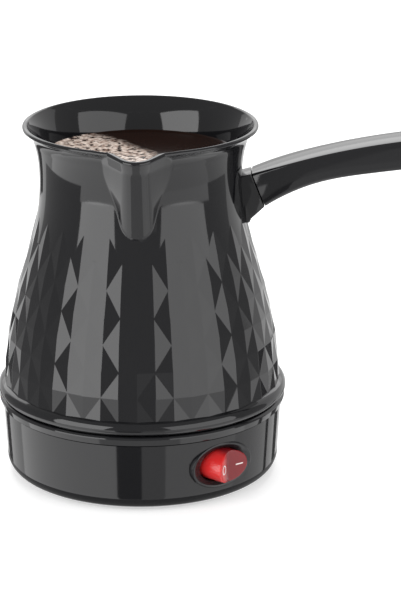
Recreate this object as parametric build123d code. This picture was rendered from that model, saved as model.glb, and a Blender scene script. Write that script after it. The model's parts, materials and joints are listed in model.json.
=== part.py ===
from build123d import *

import math
import os

# An electric Turkish coffee pot, in millimetres. The origin is on the pot's axis at the plane it
# rests on, +Z is up, the spout points along -Y and the handle along +X.

# ---- driving dimensions: height ladder -------------------------------------------------------
foot_height = 1.0
base_height = 31.5
seam_gap = 0.7
shoulder_rise = 4.1
facet_pitch = 10.0
rim_rise = 33.9
floor_lift = 5.5
wall = 2.4

# ---- faceted body: cut pyramids in staggered rows --------------------------------------------
facet_columns = 24
facet_rows = 6
pyramid_rise = 0.85
facet_fade = 0.1
neck_radius = 39.3
# belly as (share of the way out from the neck's radius to the belly's, row of facets)
belly_outline = ((1.0, 0), (0.9533, 1), (0.74, 3), (0.38, 5), (0.0533, 7))
# neck as (growth over its radius, height above the facets), up to the crease under the lip
neck_outline = ((0.0, 10.4), (0.6, 21.4), (1.9, 27.1))

# ---- lip, bead and floor of the body ---------------------------------------------------------
lip_overhang = 6.3
lip_wall = 2.0
inner_neck_drop = 22.5
inner_mouth_drop = 9.5
bead_overhang = 0.4
belly_inset = 2.6
bead_height = 4.5
floor_thickness = 1.8
floor_rise = 4.5

# ---- spout -----------------------------------------------------------------------------------
spout_overhang = 6.4
spout_height = 35.2
spout_root_drop = 7.0
spout_half_width = 14.5
spout_side_depth = 39.0
spout_nose_radius = 7.0
spout_root_radius = 8.0
spout_wall = 2.0
spout_lip_height = 5.8
spout_lip_flare = 1.1
spout_dip = 1.7

# ---- handle ----------------------------------------------------------------------------------
# the seam's ends, out from the neck and down from the rim
seam_top_offset = (3.5, 18.8)
seam_bottom_offset = (8.8, 31.8)
handle_root_width = 11.5
handle_width = 17.0
handle_taper_length = 19.2
handle_length = 136.2
# curves of the grip, along and up from the seam's upper and lower end
grip_top_points = ((18.5, 5.9), (44.8, 11.8), (91.2, 16.3))
grip_top_end_rise = 12.7
grip_bottom_points = ((9.1, 5.5), (19.9, 9.8), (41.9, 13.9), (85.9, 18.0))
grip_bottom_end_rise = 14.7
grip_top_edge = 1.0
grip_bottom_edge = 2.2
grip_wall = 2.6
grip_solid_length = 41.2
grip_cover_thickness = 1.8
tang_length = 20.0
tang_width = 6.4
tang_height = 6.0
stub_root_drop = 6.6
stub_belly = (5.2, 4.9)
handle_screw_distance = 12.0
handle_screw_length = 5.6
grip_web = 1.4
low_head_height = 1.2

# ---- skirt that enters the base --------------------------------------------------------------
skirt_wall = 2.2
skirt_depth = 5.8
skirt_clearance = 0.2
base_top_radius = 56.5
base_taper = 1.5
base_draft = 1.2
base_corner = 6.0
base_floor = 2.4
base_rim_wall = 3.7
base_wall = 3.4
parting_line_drop = 3.8
parting_line_depth = 0.35

# ---- screws ----------------------------------------------------------------------------------
screw_radius = 1.5
screw_hole_clearance = 0.25
thread_clearance = 0.03
screw_head_radius = 2.8
screw_head_height = 2.0
boss_radius = 3.0
boss_inset = 2.8
base_post_end = 12.0
base_screw_count = 3
base_screw_length = 16.0
well_radius = 4.2
well_web = 2.2
well_clearance = 0.35
clamp_screw_count = 4
clamp_screw_length = 6.0

# ---- heating plate stack ---------------------------------------------------------------------
gasket_width = 1.8
gasket_inset = 0.2
gasket_thickness = 1.4
floor_lip = 0.3
plate_clearance = 0.3
plate_thickness = 0.8
plate_dome = 1.4
plate_rim_width = 2.9
plate_step_width = 2.2
clamp_width = 2.9
clamp_clearance = 0.1
clamp_thickness = 1.4
clamp_ear_radius = 3.4
clamp_ear_inset = 0.6
spreader_inset = 1.2
spreader_thickness = 3.0
spreader_boss_height = 3.0
element_radius = 28.0
element_tube = 3.3
element_seat = 1.2
element_clearance = 0.05
element_gap_angle = 64.0
element_bend = 6.0
element_leg = 4.0
element_pin_radius = 1.2
seal_length = 2.0
tab_width = 6.3
tab_thickness = 0.8
tab_length = 7.0

# ---- thermostat and thermal fuse -------------------------------------------------------------
cap_radius = 7.9
cap_height = 3.0
thermostat_radius = 8.0
thermostat_neck_radius = 6.0
thermostat_height = 9.0
thermostat_tab_spacing = 9.0
thermostat_screw_spacing = 25.0
bracket_thickness = 0.8
bracket_width = 12.0
bracket_eye_wall = 3.0
bracket_length = 34.4
part_clearance = 0.2
fuse_offset = 18.5
fuse_radius = 2.0
fuse_length = 11.0
fuse_lead_radius = 0.5
fuse_lead_length = 20.0
splice_radius = 1.5
splice_length = 1.6
sleeve_wall = 0.4
sleeve_length = 15.0
fuse_clip_thickness = 0.6
fuse_clip_width = 6.0
fuse_screw_offset = 12.6

# ---- rubber feet -----------------------------------------------------------------------------
foot_count = 3
foot_radius = 5.0
foot_inset = 15.8
foot_recess = 0.8

# ---- appliance inlet -------------------------------------------------------------------------
inlet_height = 16.0
inlet_flange = (31.0, 21.4)
inlet_flange_thickness = 2.0
inlet_body = (26.8, 18.8)
inlet_socket = (24.4, 16.4)
inlet_socket_depth = 18.0
inlet_body_depth = 20.0
inlet_inset = 0.4
seat_thickness = 3.7
inlet_corner = 2.5
inlet_key = 4.5
pin_spacing = 14.0
pin_offset = 4.0
pin_width = 4.0
pin_thickness = 2.0
pin_recess = 4.0
snap_length = 6.0
snap_width = 6.0
snap_height = 0.9

# ---- rocker switch ---------------------------------------------------------------------------
switch_angle = 36.0
switch_height = 16.7
bezel_half = (13.8, 9.0)
bezel_inset = 0.1
bezel_thickness = 2.2
bezel_dish = 1.0
switch_body_half = (11.2, 7.9)
switch_opening_half = (9.9, 6.65)
switch_body_depth = 17.0
switch_well_depth = 8.5
switch_back_wall = 1.6
rocker_half = (8.4, 6.3)
rocker_crest = 5.2
rocker_slope = 16.0
rocker_travel = 32.0
rocker_skirt = 3.2
rocker_wall = 1.2
hinge_depth = 2.6
trunnion_radius = 1.2
trunnion_clearance = 0.05
trunnion_length = 0.9
plunger_reach = 9.0
plunger_radius = 1.2
plunger_length = 8.0
plunger_guide_wall = 0.8
plunger_clearance = 0.08
spring_wire = 0.2
spring_pitch = 0.8
lever_gap = 0.3
lever_half_length = 6.6
lever_width = 5.0
lever_thickness = 0.8
lever_slope = 13.0
lever_ratio = 0.5
contact_radius = 1.3
contact_height = 0.6
terminal_spacing = 6.0
terminal_width = 4.8
terminal_thickness = 0.8
terminal_length = 8.0
lamp_radius = 1.3
lamp_length = 5.0
lamp_offset = 4.5
lamp_height = 3.6

# ---- wiring ----------------------------------------------------------------------------------
wire_radius = 1.1
receptacle_wall = 0.5
receptacle_length = 6.0
receptacle_end = 1.0
receptacle_clearance = 0.05

# ---- places worked out from the sizes above --------------------------------------------------
seam_height = foot_height + base_height
base_top = seam_height - seam_gap / 2
body_bottom = seam_height + seam_gap / 2
facet_bottom = seam_height + shoulder_rise
facet_top = facet_bottom + facet_pitch * (facet_rows + 1)
pot_height = facet_top + rim_rise
floor_height = seam_height + floor_lift
skirt_bottom = body_bottom - skirt_depth
base_side_radius = base_top_radius - base_taper
base_foot_radius = base_side_radius - base_draft
base_inner_radius = base_side_radius - base_wall
foot_circle = base_foot_radius - foot_inset
bead_radius = base_top_radius + bead_overhang
belly_radius = bead_radius - belly_inset
lip_radius = neck_radius + lip_overhang
spout_reach = lip_radius + spout_overhang
spout_foot_height = pot_height - spout_height
spout_start = spout_foot_height - spout_root_drop
spout_lip_start = pot_height - spout_lip_height
skirt_outer_radius = base_top_radius - base_rim_wall - skirt_clearance
skirt_inner_radius = skirt_outer_radius - skirt_wall
boss_circle = skirt_inner_radius - boss_inset
plate_radius = boss_circle - boss_radius - plate_clearance
plate_step_outer = plate_radius - plate_rim_width
plate_step_inner = plate_step_outer - plate_step_width
gasket_outer_radius = plate_radius - gasket_inset
gasket_inner_radius = gasket_outer_radius - gasket_width
floor_opening_radius = gasket_inner_radius - floor_lip
clamp_outer_radius = boss_circle - boss_radius - clamp_clearance
clamp_inner_radius = clamp_outer_radius - clamp_width
spreader_radius = plate_step_inner - spreader_inset
gasket_bottom = floor_height - gasket_thickness
plate_bottom = gasket_bottom - plate_thickness
clamp_bottom = plate_bottom - clamp_thickness
spreader_top = plate_bottom + plate_dome
spreader_bottom = spreader_top - spreader_thickness
element_height = spreader_bottom - element_tube + element_seat
bracket_top = spreader_bottom - cap_height
bracket_bottom = bracket_top - bracket_thickness
thermostat_bottom = bracket_bottom - thermostat_height
column_angle = 360.0 / facet_columns
half_column = column_angle / 2
seam_top = (neck_radius + seam_top_offset[0], pot_height - seam_top_offset[1])
seam_bottom = (neck_radius + seam_bottom_offset[0], pot_height - seam_bottom_offset[1])
handle_end = seam_top[0] + handle_length
handle_pitch = math.degrees(math.atan2(seam_bottom[0] - seam_top[0], seam_top[1] - seam_bottom[1]))
seam_middle = ((seam_top[0] + seam_bottom[0]) / 2, (seam_top[1] + seam_bottom[1]) / 2)
inlet_face = base_side_radius - inlet_inset
inlet_seat = inlet_face - inlet_flange_thickness
bezel_face = base_side_radius - bezel_inset
bezel_seat = bezel_face - bezel_thickness
hinge_line = bezel_face - hinge_depth
terminal_tip = bezel_seat - switch_body_depth - terminal_length
pin_tail = inlet_seat - inlet_body_depth - tab_length

fuse_height = spreader_bottom - fuse_radius - part_clearance / 4 - sleeve_wall
sleeve_radius = fuse_radius + part_clearance / 4 + sleeve_wall
screw_grip = spreader_boss_height + 1.5
boss_screw_grip = floor_height - plate_bottom - 0.4


# ---- small helpers ---------------------------------------------------------------------------
def ring(inner, outer, bottom, top):
    """Flat ring about the pot's axis."""
    middle = (bottom + top) / 2
    tube = Cylinder(outer, top - bottom) - Cylinder(inner, 2 * (top - bottom))
    return Pos(0, 0, middle) * tube


def rod(radius, bottom, top, x=0.0, y=0.0):
    """Upright cylinder between two heights."""
    return Pos(x, y, (bottom + top) / 2) * Cylinder(radius, top - bottom)


def block(low, high):
    """Box from its lowest corner to its highest."""
    size = [high[i] - low[i] for i in range(3)]
    centre = [(high[i] + low[i]) / 2 for i in range(3)]
    return Pos(*centre) * Box(*size)


def spread(piece, count, circle, first=0.0):
    """Copies of a piece, built on the axis, set round a circle about the axis."""
    turn = 360.0 / count
    return [Rot(0, 0, first + turn * i) * Pos(circle, 0, 0) * piece for i in range(count)]


def polar(radius, angle, height):
    """Point at an angle counted from the spout towards the handle."""
    turn = math.radians(angle - 90)
    return (radius * math.cos(turn), radius * math.sin(turn), height)


def facing(angle):
    """Frame of a piece that is built in front of the spout and looks outwards at an angle."""
    return Rot(0, 0, angle)


def outward_prism(sketch, outer, inner):
    """Prism of a sketch drawn in X and Z, between two depths in front of the axis (-Y side)."""
    return extrude(Plane((0, -inner, 0), x_dir=(1, 0, 0), z_dir=(0, -1, 0)) * sketch, outer - inner)


def both_ways(face, half, along):
    """Prism that reaches half its length to either side of a face."""
    back = Vector(*along) * -half
    return Pos(back.X, back.Y, back.Z) * extrude(face, 2 * half, dir=along)


def pan_screw(length):
    """Screw with its head's seat at the origin and its shank along +Z."""
    head = Pos(0, 0, -screw_head_height / 2) * Cylinder(screw_head_radius, screw_head_height)
    head = fillet(head.edges().group_by(Axis.Z)[0], screw_head_height * 0.4)
    recess = Pos(0, 0, -screw_head_height) * (Box(3.2, 0.7, 1.6) + Box(0.7, 3.2, 1.6))
    return head - recess + rod(screw_radius, 0, length)


def pilot(depth):
    """Hole for a screw that cuts its own thread, from the origin along +Z."""
    return rod(screw_radius + thread_clearance, 0, depth)


# ---- the body's outline ----------------------------------------------------------------------
belly_points = [(neck_radius + share * (belly_radius - neck_radius), row) for share, row in belly_outline]
outline_points = [(radius, 0, facet_bottom + facet_pitch * row) for radius, row in belly_points]
outline_points += [(neck_radius + growth, 0, facet_top + rise) for growth, rise in neck_outline]
body_curve = Spline(*outline_points)


def outline_share(height):
    """Share of the body's outline at which it reaches a height."""
    low, high = 0.0, 1.0
    for _ in range(40):
        middle = (low + high) / 2
        low, high = (middle, high) if (body_curve @ middle).Z < height else (low, middle)
    return (low + high) / 2


def body_radius(height):
    """Outer radius of the body's outline at a height."""
    return (body_curve @ outline_share(height)).X


def facet_point(row, column):
    """Corner of the cut pattern: a valley node, or the raised middle of a pyramid."""
    height = facet_bottom + facet_pitch * row
    radius = body_radius(height)
    is_node = (row + column) % 2 == 1
    if is_node and row >= facet_rows:
        radius -= facet_fade
    if not is_node:
        radius = radius * math.cos(math.radians(half_column)) + pyramid_rise
    return Vector(*polar(radius, half_column * column, height))


def triangle(a, b, c):
    return Face(Wire.make_polygon([a, b, c], close=True))


def faceted_belly():
    """Closed solid of the cut-pyramid pattern, ending above in a zigzag of points."""
    columns = 2 * facet_columns
    faces = []
    for row in range(facet_rows):
        for column in range(columns):
            a, b = facet_point(row, column), facet_point(row, (column + 1) % columns)
            d, c = facet_point(row + 1, column), facet_point(row + 1, (column + 1) % columns)
            if (row + column) % 2 == 1:
                faces += [triangle(a, b, c), triangle(a, c, d)]
            else:
                faces += [triangle(a, b, d), triangle(b, c, d)]
    top = facet_rows + 1
    peaks = [column for column in range(columns) if (top + column) % 2 == 1]
    for peak in peaks:
        left, right, after = (peak - 1) % columns, (peak + 1) % columns, (peak + 2) % columns
        tip, middle = facet_point(top, peak), facet_point(facet_rows, peak)
        faces.append(triangle(tip, facet_point(facet_rows, left), middle))
        faces.append(triangle(tip, middle, facet_point(facet_rows, right)))
        faces.append(triangle(tip, facet_point(facet_rows, right), facet_point(top, after)))
    faces.append(Face(Wire.make_polygon([facet_point(top, peak) for peak in peaks], close=True)))
    faces.append(Face(Wire.make_polygon([facet_point(0, i) for i in range(columns)], close=True)))
    return Solid(Shell(faces))


def smooth_neck():
    """Neck and lip as one solid of revolution, starting where the facets fade out."""
    start_height = facet_bottom + facet_pitch * facet_rows
    start = outline_share(start_height)
    side = body_curve.trim(start, 1.0)
    crease = body_curve @ 1.0
    low = Vector((body_curve @ start).X - wall / 2, 0, start_height - 1)
    lip_side = Vector(lip_radius - 0.1, 0, pot_height - 1.3)
    lip_top = Vector(lip_radius - 0.9, 0, pot_height)
    flare = ThreePointArc(crease, (crease + lip_side) / 2 + Vector(-0.75, 0, 0.55), lip_side)
    edge = ThreePointArc(lip_side, Vector(lip_radius, 0, pot_height - 0.45), lip_top)
    lines = Polyline(lip_top, (0, 0, pot_height), (0, 0, low.Z), low, side @ 0)
    return revolve(make_face(side + flare + edge + lines), Axis.Z, 360)


def spout_section(height, grow=0.0):
    """Level section of the spout: a round nose with two flat flanks that run back into the neck."""
    share = (height - spout_start) / (pot_height - spout_start)
    root = body_radius(spout_foot_height)
    front = root + (spout_reach - root) * (height - spout_foot_height) / spout_height
    nose = spout_root_radius + (spout_nose_radius - spout_root_radius) * share
    centre = -(front - nose)
    side = spout_root_radius + (spout_half_width - spout_root_radius) * share
    back = -(spout_side_depth * share + (front - 2 * nose) * (1 - share))
    reach = math.hypot(side, back - centre)
    turn = math.atan2(back - centre, side) - math.acos(min(1.0, nose / reach))
    nose, side = nose + grow, side + grow / math.cos(turn)
    touch = Vector(nose * math.cos(turn), centre + nose * math.sin(turn), height)
    tip = Vector(0, centre - nose, height)
    mirror_touch = Vector(-touch.X, touch.Y, height)
    arc = ThreePointArc(mirror_touch, tip, touch)
    rest = Polyline(touch, (side, back, height), (-side, back, height), mirror_touch)
    return make_face(arc + rest)


def spout_outside():
    """Outer form of the spout, with a small flare under its edge, like the lip's."""
    foot, neck = spout_section(spout_start), spout_section(spout_lip_start)
    return loft([foot, neck, spout_section(pot_height, spout_lip_flare)], ruled=True)


def spout_channel():
    """Inner form of the spout, open at the top."""
    foot = spout_section(spout_start, -spout_wall)
    return loft([foot, spout_section(pot_height + 3, -spout_wall)], ruled=True)


def spout_trim():
    """Wedge that lowers the spout's edge towards its tip."""
    start = math.sqrt(lip_radius**2 - spout_half_width**2) - 1
    slope = spout_dip / (spout_reach - start)
    far = spout_reach + 6
    drop = slope * (far - start)
    high = pot_height + 20
    edge = [(-start, pot_height), (-far, pot_height - drop)]
    outline = Polyline(*edge, (-far, high), (-start, high), close=True)
    return both_ways(Plane.YZ * make_face(outline), spout_half_width + 3, (1, 0, 0))


def inner_cavity():
    """Space for the coffee: the outline moved in by the wall, a sloping floor and a flared mouth."""
    floor_corner = facet_bottom + floor_rise + 3
    heights = [floor_corner + 4] + [facet_bottom + facet_pitch * row for row in range(2, facet_rows + 2)]
    side = [(body_radius(z) - wall, z) for z in heights]
    neck = body_radius(pot_height - inner_neck_drop) - wall
    mouth = [(neck, pot_height - inner_neck_drop), (neck + lip_wall, pot_height - inner_mouth_drop)]
    mouth.append((lip_radius - lip_wall, pot_height - 0.6))
    curve = Spline(*[(r, 0, z) for r, z in side + mouth])
    start, end = curve @ 0, curve @ 1
    corner = Vector(start.X - 2.5, 0, floor_corner)
    floor_edge = Vector(floor_opening_radius, 0, floor_height + floor_thickness)
    lines = Polyline(
        end,
        (end.X, 0, pot_height + 10),
        (0, 0, pot_height + 10),
        (0, 0, floor_height - 1),
        (floor_opening_radius, 0, floor_height - 1),
        floor_edge,
        corner,
        start,
    )
    return revolve(make_face(curve + lines), Axis.Z, 360)


def bead_and_skirt():
    """Bead round the body's foot, the floor ring inside it and the skirt that enters the base."""
    bead_top = body_bottom + bead_height
    bottom_edge, top_edge = (bead_radius - 1.0, 0, body_bottom), (bead_radius - 1.4, 0, bead_top)
    arc = ThreePointArc(bottom_edge, (bead_radius, 0, (body_bottom + bead_top) / 2), top_edge)
    rest = Polyline(
        top_edge,
        (body_radius(facet_bottom) - 1, 0, bead_top + 1),
        (0, 0, bead_top + 1),
        (0, 0, skirt_bottom),
        (skirt_outer_radius, 0, skirt_bottom),
        (skirt_outer_radius, 0, body_bottom),
        bottom_edge,
    )
    return revolve(make_face(arc + rest), Axis.Z, 360)


def handle_frame():
    """Frame at the middle of the handle's seam, its Z along the handle and its X upwards."""
    turn = math.radians(handle_pitch)
    along = (math.cos(turn), 0, math.sin(turn))
    up = (-math.sin(turn), 0, math.cos(turn))
    return Plane((seam_middle[0], 0, seam_middle[1]), x_dir=up, z_dir=along)


def handle_stub():
    """Root of the handle, moulded on the neck, with a tang that enters the grip."""
    stub_root_height = seam_bottom[1] - stub_root_drop
    root_top = (body_radius(seam_top[1]) - wall / 2, 0, seam_top[1] - 1.2)
    root_low = (body_radius(stub_root_height) - wall / 2, 0, stub_root_height)
    belly = (seam_bottom[0] - stub_belly[0], 0, seam_bottom[1] - stub_belly[1])
    outline = Polyline((seam_top[0], 0, seam_top[1]), (seam_bottom[0], 0, seam_bottom[1]), belly)
    outline += Polyline(belly, (belly[0] - 0.7, 0, stub_root_height), root_low, root_top)
    outline += Line(root_top, (seam_top[0], 0, seam_top[1]))
    stub = both_ways(make_face(outline), handle_root_width / 2, (0, 1, 0))
    edges = stub.edges().filter_by(Axis.Y, reverse=True).group_by(Axis.X)[-1]
    stub = chamfer(edges, 0.3) if edges else stub
    tang = Rectangle(tang_height, tang_width)
    return stub + extrude(handle_frame() * tang, tang_length)


def handle_screw_place():
    """Frame of the handle screw: its seat in the grip's underside, its shank up into the tang."""
    frame = handle_frame()
    seat = frame.from_local_coords((-tang_height / 2 - grip_web, 0, handle_screw_distance))
    return Plane(seat, x_dir=frame.z_dir, z_dir=frame.x_dir)


def pot_body():
    """Moulded body: faceted belly, smooth neck, lip, spout, handle root and screw bosses."""
    outer = smooth_neck() + faceted_belly() + bead_and_skirt() + handle_stub()
    outer += spout_outside()
    body = outer - inner_cavity() - spout_channel() - spout_trim()
    body -= rod(skirt_inner_radius, skirt_bottom - 1, floor_height)
    clamp_boss = rod(boss_radius, plate_bottom, floor_height)
    clamp_boss -= Pos(0, 0, plate_bottom) * pilot(clamp_screw_length)
    post = rod(boss_radius, base_post_end, floor_height)
    post -= Pos(0, 0, base_post_end) * pilot(base_screw_length)
    for boss in spread(clamp_boss, clamp_screw_count, boss_circle, 45.0):
        body += boss
    for boss in spread(post, base_screw_count, boss_circle):
        body += boss
    hole = handle_screw_place() * Pos(0, 0, grip_web) * pilot(handle_screw_length)
    return body - hole


# ---- handle grip -----------------------------------------------------------------------------
def grip_curve(first, points, end_rise, shift):
    """Long curve of the grip in side view, from an end of the seam, moved up by a shift."""
    places = [(0, 0), *points, (handle_end - first[0], end_rise)]
    return Spline(*[(first[0] + x, 0, first[1] + z + shift) for x, z in places])


def grip_top(shift=0.0):
    return grip_curve(seam_top, grip_top_points, grip_top_end_rise, shift)


def grip_bottom(shift=0.0):
    return grip_curve(seam_bottom, grip_bottom_points, grip_bottom_end_rise, shift)


def side_slab(upper, lower):
    """Slab across the grip between two of its long curves."""
    side = make_face(upper + lower + Line(upper @ 0, lower @ 0) + Line(upper @ 1, lower @ 1))
    return both_ways(side, handle_width, (0, 1, 0))


def grip_outline():
    """Common part of the grip's side view and its plan, which widens from the seam."""
    root, full = handle_root_width / 2, handle_width / 2
    corner = full * 0.8
    bend = corner * (1 - math.sqrt(0.5))
    start, wide, turn = seam_top[0] - 1, seam_top[0] + handle_taper_length, handle_end - corner
    plan = Line((start, root), (start, -root))
    plan += Line((handle_end, full - corner), (handle_end, corner - full))
    for side in (1, -1):
        plan += Spline((start, side * root), (wide, side * full), tangents=((1, side * 0.3), (1, 0)))
        plan += Line((wide, side * full), (turn, side * full))
        middle = (handle_end - bend, side * (full - bend))
        plan += ThreePointArc((turn, side * full), middle, (handle_end, side * (full - corner)))
    tall = Pos(0, 0, seam_middle[1]) * both_ways(make_face(plan), handle_length / 2, (0, 0, 1))
    return side_slab(grip_top(), grip_bottom()) & tall


def grip_hollow(clearance, thickness=None):
    """Channel cored out of the grip from below, or the strip that closes it when a thickness is given."""
    if thickness is None:
        slab = side_slab(grip_top(-grip_wall), grip_bottom(-grip_wall))
    else:
        slab = side_slab(grip_bottom(thickness), grip_bottom())
    low, high = seam_top[0] + grip_solid_length + clearance, handle_end - 3 * grip_wall - clearance
    half = handle_width / 2 - grip_wall - clearance
    plan = Pos((low + high) / 2, 0, seam_middle[1]) * Box(high - low, 2 * half, handle_length)
    return slab & fillet(plan.edges().filter_by(Axis.Z), half * 0.6)


def handle_grip():
    """Grip: solid round the tang, cored from below along its length."""
    before_seam = Pos(0, 0, -handle_width) * Box(4 * handle_width, 2 * handle_width, 2 * handle_width)
    grip = grip_outline() - handle_frame() * before_seam
    long_edges = grip.edges().filter_by(lambda edge: edge.length > handle_length / 2)
    grip = fillet(long_edges.group_by(Axis.Z)[-1], grip_top_edge)
    long_edges = grip.edges().filter_by(lambda edge: edge.length > handle_length / 2)
    grip = fillet(long_edges.group_by(Axis.Z)[0], grip_bottom_edge)
    grip -= grip_hollow(0)
    socket = Rectangle(tang_height + 2 * part_clearance, tang_width + 2 * part_clearance)
    grip -= extrude(handle_frame() * socket, tang_length + part_clearance)
    place = handle_screw_place()
    grip -= place * rod(screw_radius + screw_hole_clearance, -1, grip_web + 1)
    grip -= place * rod(screw_head_radius + screw_hole_clearance, -8, 0)
    return grip


def handle_screw():
    head = Pos(0, 0, -low_head_height / 2) * Cylinder(screw_head_radius, low_head_height)
    slot = Pos(0, 0, -low_head_height) * (Box(3.2, 0.7, 1.2) + Box(0.7, 3.2, 1.2))
    return handle_screw_place() * (head - slot + rod(screw_radius, 0, grip_web + handle_screw_length - 0.5))


# ---- base shell ------------------------------------------------------------------------------
def base_cup():
    """Cup of the base: drafted wall, rounded foot, stepped rim with a parting line, inner ledge."""
    line_height = base_top - parting_line_drop
    corner_end = (base_foot_radius, 0, foot_height + base_corner)
    corner_start = (base_foot_radius - base_corner, 0, foot_height)
    bend = base_corner * (1 - math.sqrt(0.5))
    corner = ThreePointArc(corner_start, (base_foot_radius - bend, 0, foot_height + bend), corner_end)
    rim_inner = base_top_radius - base_rim_wall
    inner_corner = base_corner - base_floor
    floor_top = foot_height + base_floor
    inner_foot = base_inner_radius - 0.3
    inner_bend = inner_corner * (1 - math.sqrt(0.5))
    inner_arc = ThreePointArc(
        (inner_foot, 0, floor_top + inner_corner),
        (inner_foot - inner_bend, 0, floor_top + inner_bend),
        (inner_foot - inner_corner, 0, floor_top),
    )
    outer_side = Polyline(
        corner_end,
        (base_side_radius, 0, line_height - 0.4),
        (base_side_radius - parting_line_depth, 0, line_height),
        (base_side_radius + 0.25, 0, line_height + 0.15),
        (base_top_radius, 0, base_top - 1.0),
        (base_top_radius - 0.3, 0, base_top),
        (rim_inner, 0, base_top),
        (rim_inner, 0, skirt_bottom),
        (base_inner_radius, 0, skirt_bottom),
        (inner_foot, 0, floor_top + inner_corner),
    )
    inner_end = (inner_foot - inner_corner, 0, floor_top)
    bottom = Polyline(inner_end, (0, 0, floor_top), (0, 0, foot_height), corner_start)
    return revolve(make_face(corner + outer_side + inner_arc + bottom), Axis.Z, 360)


def inlet_outline(size, grow, corner=0.0):
    """Outline of a part of the inlet at its height, grown on every side."""
    wide, tall = size[0] + 2 * grow, size[1] + 2 * grow
    return Pos(0, inlet_height) * (RectangleRounded(wide, tall, corner) if corner else Rectangle(wide, tall))


def switch_outline(half, grow):
    return Pos(0, switch_height) * Ellipse(half[0] + grow, half[1] + grow)


def base_shell():
    """Base cup with its screw wells, foot recesses, inlet seat and switch seat."""
    shell = base_cup()
    well_bottom = foot_height + base_floor - 0.2
    for well in spread(rod(well_radius, well_bottom, base_post_end), base_screw_count, boss_circle):
        shell += well
    gap = part_clearance / 2
    inlet_pad = inlet_outline(inlet_flange, part_clearance, inlet_corner)
    inlet_rim = inlet_outline(inlet_flange, gap, inlet_corner)
    inlet_hole = inlet_outline(inlet_body, gap)
    shell += facing(180) * outward_prism(inlet_pad, inlet_seat, inlet_seat - seat_thickness)
    shell -= facing(180) * outward_prism(inlet_rim, inlet_seat + 10, inlet_seat)
    shell -= facing(180) * outward_prism(inlet_hole, inlet_seat + 1, inlet_seat - 12)
    switch_pad = switch_outline(bezel_half, 1.0)
    switch_rim = switch_outline(bezel_half, gap)
    switch_hole = switch_outline(switch_body_half, gap)
    shell += facing(switch_angle) * outward_prism(switch_pad, bezel_seat, bezel_seat - seat_thickness)
    shell -= facing(switch_angle) * outward_prism(switch_rim, bezel_seat + 8, bezel_seat)
    shell -= facing(switch_angle) * outward_prism(switch_hole, bezel_seat + 1, bezel_seat - 12)
    bore = rod(screw_radius + screw_hole_clearance, 0, base_post_end + 1)
    bore += rod(screw_head_radius + well_clearance, 0, base_post_end - well_web)
    for hole in spread(bore, base_screw_count, boss_circle):
        shell -= hole
    recess = rod(foot_radius + gap, 0, foot_height + foot_recess)
    for hole in spread(recess, foot_count, foot_circle, 60.0):
        shell -= hole
    return shell


def rubber_feet():
    foot = rod(foot_radius, 0, foot_height + foot_recess)
    foot = fillet(foot.edges().group_by(Axis.Z)[0], 0.5)
    return spread(foot, foot_count, foot_circle, 60.0)


# ---- heating plate stack ---------------------------------------------------------------------
def heating_plate():
    """Stainless disc with a raised middle."""
    low, high = plate_bottom, plate_bottom + plate_dome
    outline = Polyline(
        (0, 0, high),
        (plate_step_inner, 0, high),
        (plate_step_outer, 0, low),
        (plate_radius, 0, low),
        (plate_radius, 0, low + plate_thickness),
        (plate_step_outer - 0.2, 0, low + plate_thickness),
        (plate_step_inner - 0.2, 0, high + plate_thickness),
        (0, 0, high + plate_thickness),
        close=True,
    )
    return revolve(make_face(outline), Axis.Z, 360)


def clamp_ring():
    """Steel ring with four ears that holds the plate and gasket against the body's floor."""
    plate = ring(clamp_inner_radius, clamp_outer_radius, clamp_bottom, plate_bottom)
    ear = rod(clamp_ear_radius, clamp_bottom, plate_bottom)
    hole = rod(screw_radius + screw_hole_clearance, clamp_bottom - 1, plate_bottom + 1)
    for piece in spread(ear, clamp_screw_count, boss_circle - clamp_ear_inset, 45.0):
        plate += piece
    plate -= rod(clamp_inner_radius, clamp_bottom - 1, plate_bottom + 1)
    for piece in spread(hole, clamp_screw_count, boss_circle, 45.0):
        plate -= piece
    return plate


def heat_spreader():
    """Aluminium disc with a groove for the element and three screw bosses."""
    disc = rod(spreader_radius, spreader_bottom, spreader_top)
    disc -= Pos(0, 0, element_height) * Torus(element_radius, element_tube + element_clearance)
    boss = rod(boss_radius, bracket_top, spreader_bottom)
    hole = rod(screw_radius + thread_clearance, bracket_top, spreader_top - 0.8)
    places = [(0, thermostat_screw_spacing / 2), (0, -thermostat_screw_spacing / 2), (-fuse_screw_offset, 0)]
    for x, y in places:
        disc += Pos(x, y, 0) * boss
    for x, y in places:
        disc -= Pos(x, y, 0) * hole
    return disc


def element_end(side):
    """Place of one cold end of the element: x, y of the leg's axis."""
    angle = math.radians(180 - side * element_gap_angle / 2)
    x = element_radius * math.cos(angle) - element_bend * math.sin(angle) * side
    y = element_radius * math.sin(angle) + element_bend * math.cos(angle) * side
    return x, y


def heating_element():
    """Tubular element: an open ring whose two ends turn down."""
    circle = Plane.XZ * Pos(element_radius, element_height) * Circle(element_tube)
    tube = Rot(0, 0, 180 + element_gap_angle / 2) * revolve(circle, Axis.Z, 360 - element_gap_angle)
    elbow = revolve(Plane.XZ * Pos(element_bend, 0) * Circle(element_tube), Axis.Z, 90)
    leg_top = element_height - element_bend
    for side in (1, -1):
        turn = math.radians(180 - side * element_gap_angle / 2)
        centre = (element_radius * math.cos(turn), element_radius * math.sin(turn), leg_top)
        across = (-side * math.cos(turn), -side * math.sin(turn), 0)
        tube += Plane(centre, x_dir=(0, 0, 1), z_dir=across) * elbow
        tube += rod(element_tube, leg_top - element_leg, leg_top, *element_end(side))
    return tube


def element_seals():
    """Ceramic beads that close the element's two ends."""
    low = element_height - element_bend - element_leg
    beads = []
    for side in (1, -1):
        x, y = element_end(side)
        bead = rod(element_tube, low - seal_length, low, x, y)
        beads.append(bead - rod(element_pin_radius + thread_clearance, low - seal_length - 1, low + 1, x, y))
    return beads


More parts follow.
